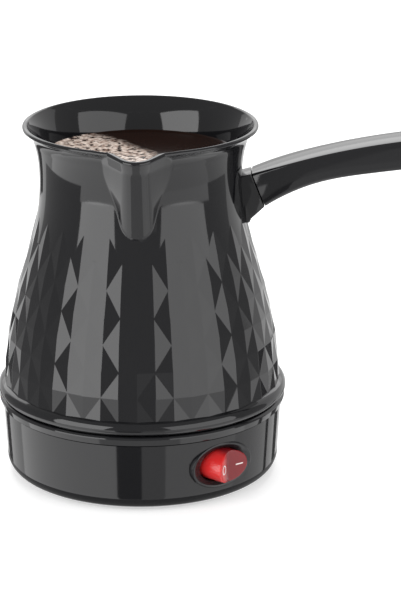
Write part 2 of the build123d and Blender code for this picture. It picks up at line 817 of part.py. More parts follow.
def element_pins():
    """Cold pins of the element, each ending in a tab."""
    low = element_height - element_bend - element_leg
    pins = []
    for side in (1, -1):
        x, y = element_end(side)
        tab_top = low - seal_length
        tab = Pos(x, y, tab_top - tab_length / 2) * Box(tab_thickness, tab_width, tab_length)
        pins.append(rod(element_pin_radius, tab_top, low, x, y) + tab)
    return pins


# ---- thermostat and thermal fuse -------------------------------------------------------------
def thermostat_cap():
    return rod(cap_radius, bracket_top, spreader_bottom)


def thermostat_body():
    body = rod(thermostat_radius, thermostat_bottom, bracket_bottom)
    body = fillet(body.edges().group_by(Axis.Z)[0], 0.8)
    return body + rod(thermostat_neck_radius, bracket_bottom, bracket_top)


def thermostat_tabs():
    tabs = []
    for x in (-thermostat_tab_spacing / 2, thermostat_tab_spacing / 2):
        centre = (x, 0, thermostat_bottom - tab_length / 2)
        tabs.append(Pos(*centre) * Box(tab_thickness, tab_width, tab_length))
    return tabs


def thermostat_bracket():
    """Steel strap under the thermostat's cap, with a bent-down tab for the earth wire."""
    plate = Box(bracket_width, bracket_length, bracket_thickness)
    plate = Pos(0, 0, (bracket_top + bracket_bottom) / 2) * plate
    plate = fillet(plate.edges().filter_by(Axis.Z), 2.0)
    plate += rod(thermostat_neck_radius + bracket_eye_wall, bracket_bottom, bracket_top)
    plate -= rod(thermostat_neck_radius + part_clearance, bracket_bottom - 1, bracket_top + 1)
    for y in (-thermostat_screw_spacing / 2, thermostat_screw_spacing / 2):
        plate -= rod(screw_radius + screw_hole_clearance, bracket_bottom - 1, bracket_top + 1, 0, y)
    tab_y = bracket_length / 2 - tab_thickness / 2
    tab = Pos(0, tab_y, bracket_top - (tab_length + bracket_thickness) / 2)
    return plate + tab * Box(tab_width, tab_thickness, tab_length + bracket_thickness)


def bracket_screws():
    """Two screws of the thermostat's strap and the one of the fuse clip."""
    strap = Pos(0, 0, bracket_bottom) * pan_screw(bracket_thickness + screw_grip)
    clip = pan_screw(fuse_clip_thickness + screw_grip)
    clip = Pos(-fuse_screw_offset, 0, bracket_top - fuse_clip_thickness) * clip
    half = thermostat_screw_spacing / 2
    return [Pos(0, half, 0) * strap, Pos(0, -half, 0) * strap, clip]


def along_y(radius, half, x, z):
    return Pos(x, 0, z) * Rot(90, 0, 0) * Cylinder(radius, 2 * half)


def thermal_fuse():
    lead = along_y(fuse_lead_radius, fuse_lead_length / 2, -fuse_offset, fuse_height)
    return along_y(fuse_radius, fuse_length / 2, -fuse_offset, fuse_height) + lead


def fuse_sleeve():
    bore = fuse_radius + part_clearance / 4
    outer = along_y(bore + sleeve_wall, sleeve_length / 2, -fuse_offset, fuse_height)
    return outer - along_y(bore, sleeve_length, -fuse_offset, fuse_height)


def fuse_clip():
    """Strap that holds the sleeve up against the spreader."""
    inner = sleeve_radius + part_clearance / 4
    outer = inner + fuse_clip_thickness
    half = fuse_clip_width / 2
    hoop = along_y(outer, half, -fuse_offset, fuse_height)
    hoop -= along_y(inner, 2 * half, -fuse_offset, fuse_height)
    low, high = bracket_top - fuse_clip_thickness, bracket_top
    hoop -= block((-fuse_offset - outer - 1, -half - 1, high), (-fuse_offset + outer + 1, half + 1, high + 9))
    tab = block((-fuse_offset + inner - 0.3, -half, low), (-fuse_screw_offset + boss_radius, half, high))
    tab -= along_y(inner, 2 * half, -fuse_offset, fuse_height)
    clip = hoop + tab
    return clip - rod(screw_radius + screw_hole_clearance, low - 1, high + 1, -fuse_screw_offset, 0)


# ---- screws of the body ----------------------------------------------------------------------
def clamp_screws():
    screw = Pos(0, 0, clamp_bottom) * pan_screw(clamp_thickness + boss_screw_grip)
    return spread(screw, clamp_screw_count, boss_circle, 45.0)


def base_screws():
    screw = Pos(0, 0, base_post_end - well_web) * pan_screw(well_web + base_screw_length - 1)
    return spread(screw, base_screw_count, boss_circle)


# ---- appliance inlet -------------------------------------------------------------------------
def inlet_pin_places():
    """Side place and height of the live, neutral and earth pins, seen from outside."""
    low, high = inlet_height - pin_offset / 2, inlet_height + pin_offset / 2
    return {"live": (pin_spacing / 2, low), "neutral": (-pin_spacing / 2, low), "earth": (0.0, high)}


def inlet_housing():
    """Inlet shroud with a keyed socket, a flange on the shell and a snap rib on each side."""
    back = inlet_seat - inlet_body_depth
    flange = Pos(0, inlet_height) * RectangleRounded(inlet_flange[0], inlet_flange[1], inlet_corner)
    body = Pos(0, inlet_height) * Rectangle(*inlet_body)
    socket = Pos(0, inlet_height) * Rectangle(*inlet_socket)
    socket = chamfer(socket.vertices().group_by(Axis.Y)[0], inlet_key)
    shroud = outward_prism(flange, inlet_face, inlet_seat) + outward_prism(body, inlet_seat, back)
    shroud -= outward_prism(socket, inlet_face + 1, inlet_face - inlet_socket_depth)
    front = -(inlet_seat - seat_thickness - part_clearance / 2)
    for side in (1, -1):
        edge = side * (inlet_body[0] / 2 - 0.1)
        proud = side * (inlet_body[0] / 2 + snap_height)
        rib = Polyline((edge, front), (proud, front), (edge, front + snap_length), close=True)
        shroud += Pos(0, 0, inlet_height) * both_ways(make_face(rib), snap_width / 2, (0, 0, 1))
    grow = 2 * thread_clearance
    for x, z in inlet_pin_places().values():
        slot = Pos(x, z) * Rectangle(pin_thickness + grow, pin_width + grow)
        shroud -= outward_prism(slot, inlet_face, back - 1)
    return facing(180) * shroud


def inlet_pins():
    back = inlet_seat - inlet_body_depth
    pins = []
    for x, z in inlet_pin_places().values():
        blade = outward_prism(Pos(x, z) * Rectangle(pin_thickness, pin_width), inlet_face - pin_recess, back)
        blade = chamfer(blade.edges().group_by(Axis.Y)[0], 0.4)
        tab = outward_prism(Pos(x, z) * Rectangle(tab_thickness, tab_width), back, pin_tail)
        pins.append(facing(180) * (blade + tab))
    return pins


# ---- rocker switch ---------------------------------------------------------------------------
def switch_frame():
    """Frame in front of the pot in which the switch is built, turned to its place."""
    return facing(switch_angle) * Pos(0, 0, switch_height)


def ellipse(half):
    return Ellipse(half[0], half[1])


def front_profile(points, half_height):
    """Prism, along Z, of an outline given as (side, height above the hinge) pairs."""
    outline = Polyline(*[(t, -h) for t, h in points], close=True)
    return both_ways(make_face(outline), half_height, (0, 0, 1))


def rocker_outline(inset):
    """Dished outline of the rocker about its hinge, moved in by an inset at the top and sides."""
    half = rocker_half[0] + 1
    rise = half * math.tan(math.radians(rocker_slope))
    crest = rocker_crest - inset
    low = -rocker_skirt - (1 if inset else 0)
    return [(-half, low), (half, low), (half, crest + rise), (0, crest), (-half, crest + rise)]


def hinge_place():
    """Frame of the rocker at rest, with its right half pressed in."""
    return switch_frame() * Pos(0, -hinge_line, 0) * Rot(0, 0, rocker_travel / 2)


def guide_height():
    return rocker_crest - rocker_wall / 2


def switch_rocker():
    """Hollow red rocker with trunnions and a guide for its plunger."""
    outer_half, inner_half = rocker_half, (rocker_half[0] - rocker_wall, rocker_half[1] - rocker_wall)
    tall = rocker_crest + rocker_half[0]
    shell = outward_prism(ellipse(outer_half), tall, -rocker_skirt)
    shell &= front_profile(rocker_outline(0), rocker_half[1] + 1)
    hollow = outward_prism(ellipse(inner_half), tall, -rocker_skirt - 1)
    hollow &= front_profile(rocker_outline(rocker_wall), rocker_half[1] + 1)
    rocker = shell - hollow
    bore_radius = plunger_radius + plunger_clearance
    guide = outward_prism(Circle(bore_radius + plunger_guide_wall), guide_height(), -rocker_skirt)
    rocker += guide
    for side in (1, -1):
        reach = rocker_half[1] + trunnion_length
        low = rocker_half[1] - rocker_wall / 2
        rocker += Pos(0, 0, side * (low + reach) / 2) * Cylinder(trunnion_radius, reach - low)
    bore = outward_prism(Circle(bore_radius), guide_height() - rocker_wall, -rocker_skirt - 1)
    return hinge_place() * (rocker - bore)


def rocker_plunger():
    tip = -plunger_reach
    pin = outward_prism(Circle(plunger_radius), tip + plunger_length, tip)
    return hinge_place() * (pin + Pos(0, -tip, 0) * Sphere(plunger_radius))


def plunger_spring():
    """Coil spring between the plunger and the end of its guide."""
    low = -plunger_reach + plunger_length
    high = guide_height() - rocker_wall
    coil = plunger_radius - 2 * spring_wire
    height = high - low - 2 * spring_wire - 2 * thread_clearance
    path = Helix(pitch=spring_pitch, height=height, radius=coil)
    start = path @ 0
    coil_wire = sweep(Plane(start, z_dir=path % 0) * Circle(spring_wire), path)
    place = Pos(0, -low - spring_wire - thread_clearance, 0) * Rot(90, 0, 0)
    return hinge_place() * (place * coil_wire)


def neon_lamp():
    glass = Pos(-lamp_offset, -lamp_height, 0) * Cylinder(lamp_radius, lamp_length)
    return hinge_place() * fillet(glass.edges(), 0.5)


def pivot_depth():
    """Distance from the axis of the contact lever's pivot."""
    return hinge_line - plunger_reach - plunger_radius - lever_gap - lever_thickness


def contact_lever():
    """Bent copper lever with a contact under each end."""
    rise = math.tan(math.radians(lever_slope)) * lever_half_length
    top = lever_thickness
    outline = [(0, 0), (lever_half_length, rise), (lever_half_length, rise + top), (0, top)]
    outline += [(-lever_half_length, rise + top), (-lever_half_length, rise)]
    lever = front_profile(outline, lever_width / 2)
    level = math.tan(math.radians(lever_slope)) * terminal_spacing
    for side in (1, -1):
        contact = outward_prism(Circle(contact_radius), level + top / 2, level - contact_height)
        lever += Pos(side * terminal_spacing, 0, 0) * contact
    place = switch_frame() * Pos(0, -pivot_depth(), 0)
    return place * Rot(0, 0, -rocker_travel * lever_ratio / 2) * lever


def terminal_top():
    return pivot_depth() - lever_gap - 0.1


def switch_terminals():
    """Three brass blades through the back of the housing."""
    blades = []
    for side in (-1, 0, 1):
        sketch = Pos(side * terminal_spacing, 0) * Rectangle(terminal_thickness, terminal_width)
        blades.append(switch_frame() * outward_prism(sketch, terminal_top(), terminal_tip))
    return blades


def switch_housing():
    """Oval housing: dished bezel, well for the rocker, chamber for the contacts."""
    back = bezel_seat - switch_body_depth
    well_floor = bezel_face - switch_well_depth
    housing = outward_prism(ellipse(bezel_half), bezel_face, bezel_seat)
    housing += outward_prism(ellipse(switch_body_half), bezel_seat, back)
    housing -= outward_prism(ellipse(switch_opening_half), bezel_face + 1, well_floor)
    wide = (bezel_half[0] - bezel_dish, bezel_half[1] - bezel_dish)
    front_plane = Plane((0, -bezel_face - 0.01, 0), x_dir=(1, 0, 0), z_dir=(0, -1, 0))
    inner_plane = Plane((0, -bezel_face + bezel_dish, 0), x_dir=(1, 0, 0), z_dir=(0, -1, 0))
    housing -= loft([front_plane * ellipse(wide), inner_plane * ellipse(switch_opening_half)], ruled=True)
    chamber_half = lever_half_length + 1.2
    chamber = Rectangle(2 * chamber_half, lever_width + 1.4)
    housing -= outward_prism(chamber, well_floor + 1, back + switch_back_wall)
    hinge = Pos(0, -hinge_line, 0) * Cylinder(
        trunnion_radius + trunnion_clearance, 2 * (rocker_half[1] + trunnion_length + part_clearance)
    )
    housing -= hinge
    grow = 2 * thread_clearance
    for side in (-1, 0, 1):
        slot = Pos(side * terminal_spacing, 0) * Rectangle(terminal_thickness + grow, terminal_width + grow)
        housing -= outward_prism(slot, back + switch_back_wall + 1, back - 1)
    return switch_frame() * housing


# ---- wiring ----------------------------------------------------------------------------------
def receptacle(width):
    """Push-on sleeve whose blade enters along +Z from the origin."""
    wall_size, slot_size = 2 * receptacle_wall, 2 * receptacle_clearance
    outer = Box(tab_thickness + wall_size, width + wall_size, receptacle_length + receptacle_end)
    outer = Pos(0, 0, (receptacle_length - receptacle_end) / 2) * outer
    slot = Box(tab_thickness + slot_size, width + slot_size, receptacle_length + 1)
    return outer - Pos(0, 0, (receptacle_length + 1) / 2) * slot


def blade_tips():
    """Tip of each blade, with the direction in which its blade runs from there and its width."""
    tips = {}
    low = element_height - element_bend - element_leg - seal_length - tab_length
    for name, side in (("element_a", 1), ("element_b", -1)):
        x, y = element_end(side)
        tips[name] = (Vector(x, y, low), Vector(0, 0, 1), tab_width)
    for name, side in (("thermostat_a", 1), ("thermostat_b", -1)):
        tip = Vector(side * thermostat_tab_spacing / 2, 0, thermostat_bottom - tab_length)
        tips[name] = (tip, Vector(0, 0, 1), tab_width)
    earth = Vector(0, bracket_length / 2 - tab_thickness / 2, bracket_bottom - tab_length)
    tips["earth_tab"] = (earth, Vector(0, 0, 1), tab_width)
    for name, (x, z) in inlet_pin_places().items():
        tips["inlet_" + name] = (Vector(-x, pin_tail, z), Vector(0, 1, 0), tab_width)
    outward = Vector(*polar(1, switch_angle, 0))
    across = Vector(-outward.Y, outward.X, 0)
    for name, side in (("switched", -1), ("common", 0), ("lamp", 1)):
        tip = outward * terminal_tip + across * (side * terminal_spacing) + Vector(0, 0, switch_height)
        tips["switch_" + name] = (tip, outward, terminal_width)
    return tips


def receptacles():
    """Sleeves on every wired blade."""
    pieces = []
    for name, (tip, along, width) in blade_tips().items():
        if name == "switch_lamp":
            continue
        if name == "earth_tab":
            thick = Vector(0, 1, 0)
        elif along.Z > 0.5:
            thick = Vector(1, 0, 0)
        else:
            thick = Vector(along.Y, -along.X, 0)
        pieces.append(Plane(tip, x_dir=thick, z_dir=along) * receptacle(width))
    return pieces


def wire(points):
    """Round wire along straight runs joined by arcs as large as the runs allow."""
    points = [Vector(*p) for p in points]
    radii = []
    for before, at, after in zip(points, points[1:], points[2:]):
        turn = (at - before).get_angle(after - at)
        shorter = min((at - before).length, (after - at).length)
        radii.append(0.45 * shorter / math.tan(math.radians(turn) / 2))
    path = FilletPolyline(*points, radius=radii)
    return sweep(Plane(points[0], z_dir=points[1] - points[0]) * Circle(wire_radius), path)


def wire_start(name, run):
    """End of a blade's sleeve and a point straight behind it."""
    tip, along, _ = blade_tips()[name]
    end = tip - along * receptacle_end
    return end, end - along * run


def wire_live():
    start, leave = wire_start("inlet_live", 5.0)
    end, enter = wire_start("switch_common", 4.5)
    return wire([start, leave, (1, 10, 6.0), (11, 0, 6.0), (14, -9, 9.5), enter, end])


def wire_switched():
    start, leave = wire_start("switch_switched", 4.5)
    end, enter = wire_start("thermostat_a", 4.5)
    return wire([start, leave, (6.5, -10, 10.0), enter, end])


def wire_neutral():
    start, leave = wire_start("inlet_neutral", 5.0)
    end, enter = wire_start("element_b", 6.0)
    return wire([start, leave, (-6, 12, 12.5), (-15, 2, 9.0), (-22, -7, 6.6), enter, end])


def wire_earth():
    start, leave = wire_start("inlet_earth", 5.6)
    end, enter = wire_start("earth_tab", 2.6)
    return wire([start, leave, enter, end])


def wire_to_fuse():
    end, enter = wire_start("thermostat_b", 4.5)
    y = -fuse_lead_length / 2
    bend = (-fuse_offset, y - 3.6, fuse_height)
    drop = (-fuse_offset, y - 3.6, 21.0)
    return wire([(-fuse_offset, y, fuse_height), bend, drop, (-11, -7, 10.0), enter, end])


def wire_from_fuse():
    end, enter = wire_start("element_a", 6.0)
    y = fuse_lead_length / 2
    bend = (-fuse_offset, y + 3.6, fuse_height)
    drop = (-fuse_offset, y + 3.6, 20.0)
    return wire([(-fuse_offset, y, fuse_height), bend, drop, (-19.0, y + 2, 7.0), enter, end])


def crimp_splices():
    """Crimps on the two leads of the thermal fuse."""
    far, near = fuse_lead_length / 2, fuse_lead_length / 2 - splice_length
    pieces = []
    for side in (1, -1):
        crimp = Rot(90, 0, 0) * Cylinder(splice_radius, far - near)
        crimp = Pos(-fuse_offset, side * (far + near) / 2, fuse_height) * crimp
        lead = along_y(fuse_lead_radius + thread_clearance, far + 1, -fuse_offset, fuse_height)
        pieces.append(crimp - lead)
    return pieces


def grip_cover():
    return grip_hollow(part_clearance / 2, grip_cover_thickness)


def plate_gasket():
    return ring(gasket_inner_radius, gasket_outer_radius, gasket_bottom, floor_height)


PIECES = [
    pot_body, plate_gasket, heating_plate, clamp_ring, clamp_screws, heat_spreader, heating_element,
    element_seals, element_pins, thermostat_cap, thermostat_body, thermostat_tabs, thermostat_bracket,
    bracket_screws, thermal_fuse, fuse_sleeve, fuse_clip, crimp_splices, base_shell, base_screws,
    rubber_feet, inlet_housing, inlet_pins, switch_housing, switch_rocker, rocker_plunger,
    plunger_spring, neon_lamp, contact_lever, switch_terminals, receptacles, wire_live, wire_switched,
    wire_neutral, wire_earth, wire_to_fuse, wire_from_fuse, handle_grip, grip_cover, handle_screw,
]


def main():
    os.makedirs("parts", exist_ok=True)
    for make in PIECES:
        made = make()
        solids = [s for piece in (made if isinstance(made, list) else [made]) for s in piece.solids()]
        whole = solids[0] if len(solids) == 1 else Compound(children=solids)
        export_step(whole, "parts/" + make.__name__ + ".step")


if __name__ == "__main__":
    main()
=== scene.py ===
"""Looks of a long-handled electric coffee pot, modelled in Blender round its CAD frame.

Sizes are in millimetres, with Z up, the spout towards -Y and the handle along +X.
"""

import json
import logging
import math
from dataclasses import dataclass
from enum import Enum
from typing import Any, Sequence

import bpy
import numpy as np
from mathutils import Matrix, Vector

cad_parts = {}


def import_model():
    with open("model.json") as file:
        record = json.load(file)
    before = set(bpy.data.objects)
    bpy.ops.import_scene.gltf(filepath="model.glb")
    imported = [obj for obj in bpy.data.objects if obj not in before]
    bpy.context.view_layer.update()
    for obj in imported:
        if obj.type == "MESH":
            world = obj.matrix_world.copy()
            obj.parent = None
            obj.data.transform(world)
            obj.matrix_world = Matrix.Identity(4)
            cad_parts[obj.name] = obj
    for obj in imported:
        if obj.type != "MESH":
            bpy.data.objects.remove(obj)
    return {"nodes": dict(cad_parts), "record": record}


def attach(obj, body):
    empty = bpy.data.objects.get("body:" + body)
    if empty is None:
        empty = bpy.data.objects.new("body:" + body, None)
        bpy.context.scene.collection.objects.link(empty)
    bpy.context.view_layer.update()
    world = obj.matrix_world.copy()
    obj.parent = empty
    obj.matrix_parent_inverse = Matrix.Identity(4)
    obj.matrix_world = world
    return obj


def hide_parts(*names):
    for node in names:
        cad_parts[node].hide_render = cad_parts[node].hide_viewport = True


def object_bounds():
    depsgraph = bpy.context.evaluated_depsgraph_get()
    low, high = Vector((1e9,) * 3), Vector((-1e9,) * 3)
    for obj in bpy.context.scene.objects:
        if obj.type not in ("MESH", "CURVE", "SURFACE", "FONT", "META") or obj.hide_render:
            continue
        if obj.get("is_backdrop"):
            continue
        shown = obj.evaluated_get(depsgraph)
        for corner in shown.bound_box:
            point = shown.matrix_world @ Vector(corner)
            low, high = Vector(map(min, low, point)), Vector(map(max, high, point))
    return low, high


MM = 0.001
FULL_TURN = 2 * math.pi
QUARTER_TURN = math.pi / 2
CURVE_SAMPLES = 600
SAME_PLACE = 2e-6
NEAR_ZERO = 1e-9
THIN_ROD_CORNERS, OVAL_CORNERS, ROCKER_CORNERS, MARK_CORNERS = 32, 128, 144, 48
WHITE = (1.0, 1.0, 1.0, 1.0)
LOG = logging.getLogger("coffee_pot")

Piece = bpy.types.Object
Material = bpy.types.Material
Tree = bpy.types.NodeTree
Node = bpy.types.Node
Socket = bpy.types.NodeSocket
Pair = tuple[float, float]
Place = tuple[float, float, float]
Sizes = tuple[float, float, float]

# sizes that several sub-assemblies share; a seam's end is (x, z)
SCREW_CIRCLE, SCREW_TURNS = 47.6, (0, 120, 240)
SWITCH_TURN, SWITCH_HEIGHT = 36.0, 16.7
SEAM_TOP, SEAM_BOTTOM, SEAM_HALF_WIDTH = (42.8, 121.7), (48.1, 108.7), 5.75


class Body(Enum):
    """CAD bodies that the pieces ride on."""

    POT = "pot"
    ROCKER = "rocker"


class Shading(Enum):
    """How the light runs over a piece's faces."""

    FLAT = "flat"
    SMOOTH = "smooth"
    CREASED = "creased"


class Joining(Enum):
    """What becomes of the room that another piece fills."""

    CUT = "DIFFERENCE"
    FUSE = "UNION"


# ---- nodes --------------------------------------------------------------------------------------


def linear(colour: str) -> tuple[float, float, float, float]:
    """Turns an sRGB hex colour into linear values.

    Args:
        colour: Six hex digits after a #.

    Returns:
        Red, green, blue and an alpha of 1.
    """
    parts = [int(colour[i : i + 2], 16) / 255 for i in (1, 3, 5)]
    red, green, blue = (p / 12.92 if p <= 0.04045 else ((p + 0.055) / 1.055) ** 2.4 for p in parts)
    return red, green, blue, 1.0


def feed(node: Node, inputs: dict[str | int, Any]) -> None:
    """Sets or links a node's inputs.

    Args:
        node: Node that gets them.
        inputs: Values, and sockets to link, by the input's name or number.
    """
    for key, value in inputs.items():
        if isinstance(value, Socket):
            node.id_data.links.new(value, node.inputs[key])
        else:
            node.inputs[key].default_value = value


def add_node(tree: Tree, kind: str, inputs: dict[str | int, Any] | None = None, **settings: Any) -> Node:
    """Adds a shader node.

    Args:
        tree: Node tree that gets the node.
        kind: Blender's name of the node type, without the leading ShaderNode.
        inputs: Its inputs, as for feed.
        settings: Values of the node's own properties.

    Returns:
        The new node.
    """
    node = tree.nodes.new("ShaderNode" + kind)
    for name, value in settings.items():
        setattr(node, name, value)
    feed(node, inputs or {})
    return node


def maths(tree: Tree, operation: str, *values: float | Socket, **settings: Any) -> Socket:
    """Adds a Math node on these numbers and sockets, and returns its result."""
    return add_node(tree, "Math", dict(enumerate(values)), operation=operation, **settings).outputs[0]


def share_between(tree: Tree, value: Socket, low: float, high: float) -> Socket:
    """Adds a node that turns low into 0 and high into 1, and returns its result."""
    ends = {"Value": value, "From Min": low, "From Max": high}
    return add_node(tree, "MapRange", ends).outputs["Result"]


def blend(tree: Tree, share: Socket, first: str | Socket, second: str | Socket) -> Socket:
    """Adds a mix of two colours, each in hex digits or as a socket, and returns its result."""
    ends = [linear(end) if isinstance(end, str) else end for end in (first, second)]
    return add_node(tree, "Mix", {0: share, 6: ends[0], 7: ends[1]}, data_type="RGBA").outputs[2]


def object_place(tree: Tree) -> Socket:
    """Adds the place on the piece, and returns its socket."""
    return add_node(tree, "TexCoord").outputs["Object"]


def emboss(tree: Tree, shader: Node, height: Socket, strength: float, depth_mm: float) -> None:
    """Gives the shader a bump from a pattern's height."""
    bump = add_node(tree, "Bump", {"Strength": strength, "Distance": depth_mm * MM, "Height": height})
    feed(shader, {"Normal": bump.outputs["Normal"]})


def bare_material(name: str) -> Material:
    """Makes a material with an empty node tree.

    Args:
        name: Name of the material.

    Returns:
        The material.
    """
    material = bpy.data.materials.new(name)
    material.use_nodes = True
    material.node_tree.nodes.clear()
    return material


# ---- meshes -------------------------------------------------------------------------------------


def clear_selection() -> None:
    """Leaves edit mode and deselects everything."""
    if bpy.context.mode != "OBJECT":
        bpy.ops.object.mode_set(mode="OBJECT")
    bpy.ops.object.select_all(action="DESELECT")


def focus(*pieces: Piece) -> None:
    """Selects some pieces alone.

    Args:
        pieces: Pieces to select; the first one becomes active.
    """
    clear_selection()
    for piece in pieces:
        piece.select_set(True)
    bpy.context.view_layer.objects.active = pieces[0]


def new_piece(name: str) -> Piece:
    """Names the active object and its mesh.

    Args:
        name: New name.

    Returns:
        The active object.
    """
    piece = bpy.context.active_object
    piece.name = name
    piece.data.name = name
    return piece


def edit_mesh(piece: Piece, action: str = "SELECT") -> None:
    """Opens a piece in edit mode.

    Args:
        piece: Piece to open.
        action: Whether everything in it is selected or deselected.
    """
    focus(piece)
    bpy.ops.object.mode_set(mode="EDIT")
    bpy.ops.mesh.select_all(action=action)


def tidy_mesh(piece: Piece) -> None:
    """Merges doubled corners and turns every face outwards.

    Args:
        piece: Piece to tidy.
    """
    edit_mesh(piece)
    bpy.ops.mesh.remove_doubles(threshold=SAME_PLACE)
    bpy.ops.mesh.normals_make_consistent(inside=False)
    bpy.ops.object.mode_set(mode="OBJECT")


def spin_profile(name: str, profile: Sequence[Pair], steps: int) -> Piece:
    """Spins a closed outline round the pot's axis.

    Args:
        name: Name of the piece.
        profile: Corners of the outline as (radius, height).
        steps: Number of steps in the full turn.

    Returns:
        The turned piece.
    """
    clear_selection()
    bpy.ops.mesh.primitive_circle_add(vertices=len(profile), radius=1.0)
    piece = new_piece(name)
    for vertex, (radius, height) in zip(piece.data.vertices, profile):
        vertex.co = (radius * MM, 0.0, height * MM)
    edit_mesh(piece)
    bpy.ops.mesh.spin(steps=steps, angle=FULL_TURN, center=(0, 0, 0), axis=(0, 0, 1))
    tidy_mesh(piece)
    return piece


def wrap_grid(name: str, net: Sequence) -> Piece:
    """Lays a grid primitive over a net of places; coinciding borders are merged.

    Args:
        name: Name of the piece.
        net: Rows of places.

    Returns:
        The wrapped piece.
    """
    places = np.array(net)
    rows, columns = places.shape[0] - 1, places.shape[1] - 1
    clear_selection()
    bpy.ops.mesh.primitive_grid_add(x_subdivisions=columns, y_subdivisions=rows, size=1.0)
    piece = new_piece(name)
    flat = np.zeros(len(piece.data.vertices) * 3)
    piece.data.vertices.foreach_get("co", flat)
    spots = flat.reshape(-1, 3)
    column = np.rint((spots[:, 0] + 0.5) * columns).astype(int)
    row = np.rint((spots[:, 1] + 0.5) * rows).astype(int)
    piece.data.vertices.foreach_set("co", (places[row, column] * MM).ravel())
    piece.data.update()
    tidy_mesh(piece)
    return piece


def close_ends(piece: Piece) -> None:
    """Fills every open border of a piece with a face.

    Args:
        piece: Piece to close.
    """
    edit_mesh(piece, "DESELECT")
    bpy.ops.mesh.select_mode(type="EDGE")
    bpy.ops.mesh.select_non_manifold(extend=False, use_wire=False, use_multi_face=False,
                                     use_non_contiguous=False, use_verts=False)
    bpy.ops.mesh.fill_holes(sides=0)
    bpy.ops.mesh.select_mode(type="VERT")
    tidy_mesh(piece)


def slab(name: str, outline: Sequence[Pair], half: float) -> Piece:
    """Extrudes an outline in the XZ plane to both sides.

    Args:
        name: Name of the piece.
        outline: Corners as (x, z).
        half: Half of the piece's width along Y.

    Returns:
        The slab.
    """
    clear_selection()
    bpy.ops.mesh.primitive_circle_add(vertices=len(outline), radius=1.0, fill_type="NGON")
    piece = new_piece(name)
    for vertex, (x, z) in zip(piece.data.vertices, outline):
        vertex.co = (x * MM, -half * MM, z * MM)
    edit_mesh(piece)
    bpy.ops.mesh.extrude_region_move(TRANSFORM_OT_translate={"value": (0, 2 * half * MM, 0)})
    tidy_mesh(piece)
    return piece


def upright_rod(name: str, radius: float, low: float, high: float, circle: float, turn: float,
                corners: int = 48) -> Piece:
    """Adds an upright cylinder on a circle round the pot's axis, with its place in its mesh.

    Args:
        name: Name of the rod.
        radius: Its radius.
        low: Height of its lower end.
        high: Height of its upper end.
        circle: Radius of the circle.
        turn: Place on the circle, in degrees from the handle.
        corners: Corners of its outline.

    Returns:
        The rod.
    """
    clear_selection()
    bpy.ops.mesh.primitive_cylinder_add(vertices=corners, radius=radius * MM, depth=(high - low) * MM)
    piece = new_piece(name)
    x, y = circle * math.cos(math.radians(turn)), circle * math.sin(math.radians(turn))
    piece.location = (x * MM, y * MM, (low + high) / 2 * MM)
    bpy.ops.object.transform_apply(location=True, rotation=True, scale=True)
    return piece


def apply_modifier(piece: Piece, kind: str, **settings: Any) -> None:
    """Adds a modifier and applies it.

    Args:
        piece: Piece that gets the modifier.
        kind: Blender's name of the modifier type.
        settings: Its properties.
    """
    focus(piece)
    modifier = piece.modifiers.new(kind.lower(), kind)
    for name, value in settings.items():
        setattr(modifier, name, value)
    bpy.ops.object.modifier_apply(modifier=modifier.name)


def combine(piece: Piece, joining: Joining, *others: Piece) -> None:
    """Cuts other pieces out of a piece, or fuses them with it, and deletes them.

    Args:
        piece: Piece that stays.
        joining: Whether to cut or to fuse.
        others: The other pieces, in order.
    """
    for other in others:
        apply_modifier(piece, "BOOLEAN", object=other, operation=joining.value, solver="EXACT")
        bpy.data.objects.remove(other)


def shade(piece: Piece, shading: Shading, angle: float = 30.0) -> None:
    """Sets how the light runs over a piece's faces.

    Args:
        piece: Piece to shade.
        shading: Flat, smooth, or smooth up to an angle between faces.
        angle: That angle in degrees.
    """
    focus(piece)
    if shading is Shading.FLAT:
        bpy.ops.object.shade_flat()
    elif shading is Shading.SMOOTH:
        bpy.ops.object.shade_smooth()
    else:
        bpy.ops.object.shade_smooth_by_angle(angle=math.radians(angle))


def dress(piece: Piece, material: Material, slot: str, *stands_for: str, body: Body = Body.POT) -> None:
    """Gives a piece its material and its body, and hides the CAD nodes it stands for.

    Args:
        piece: Finished piece.
        material: Material for all its faces.
        slot: Material slot of the record; not used.
        stands_for: CAD nodes that it replaces.
        body: CAD body that the piece moves with.
    """
    piece.data.materials.clear()
    piece.data.materials.append(material)
    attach(piece, body.value)
    if stands_for:
        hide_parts(*stands_for)
    LOG.info("%s: %d faces, rides on %s", piece.name, len(piece.data.polygons), body.value)


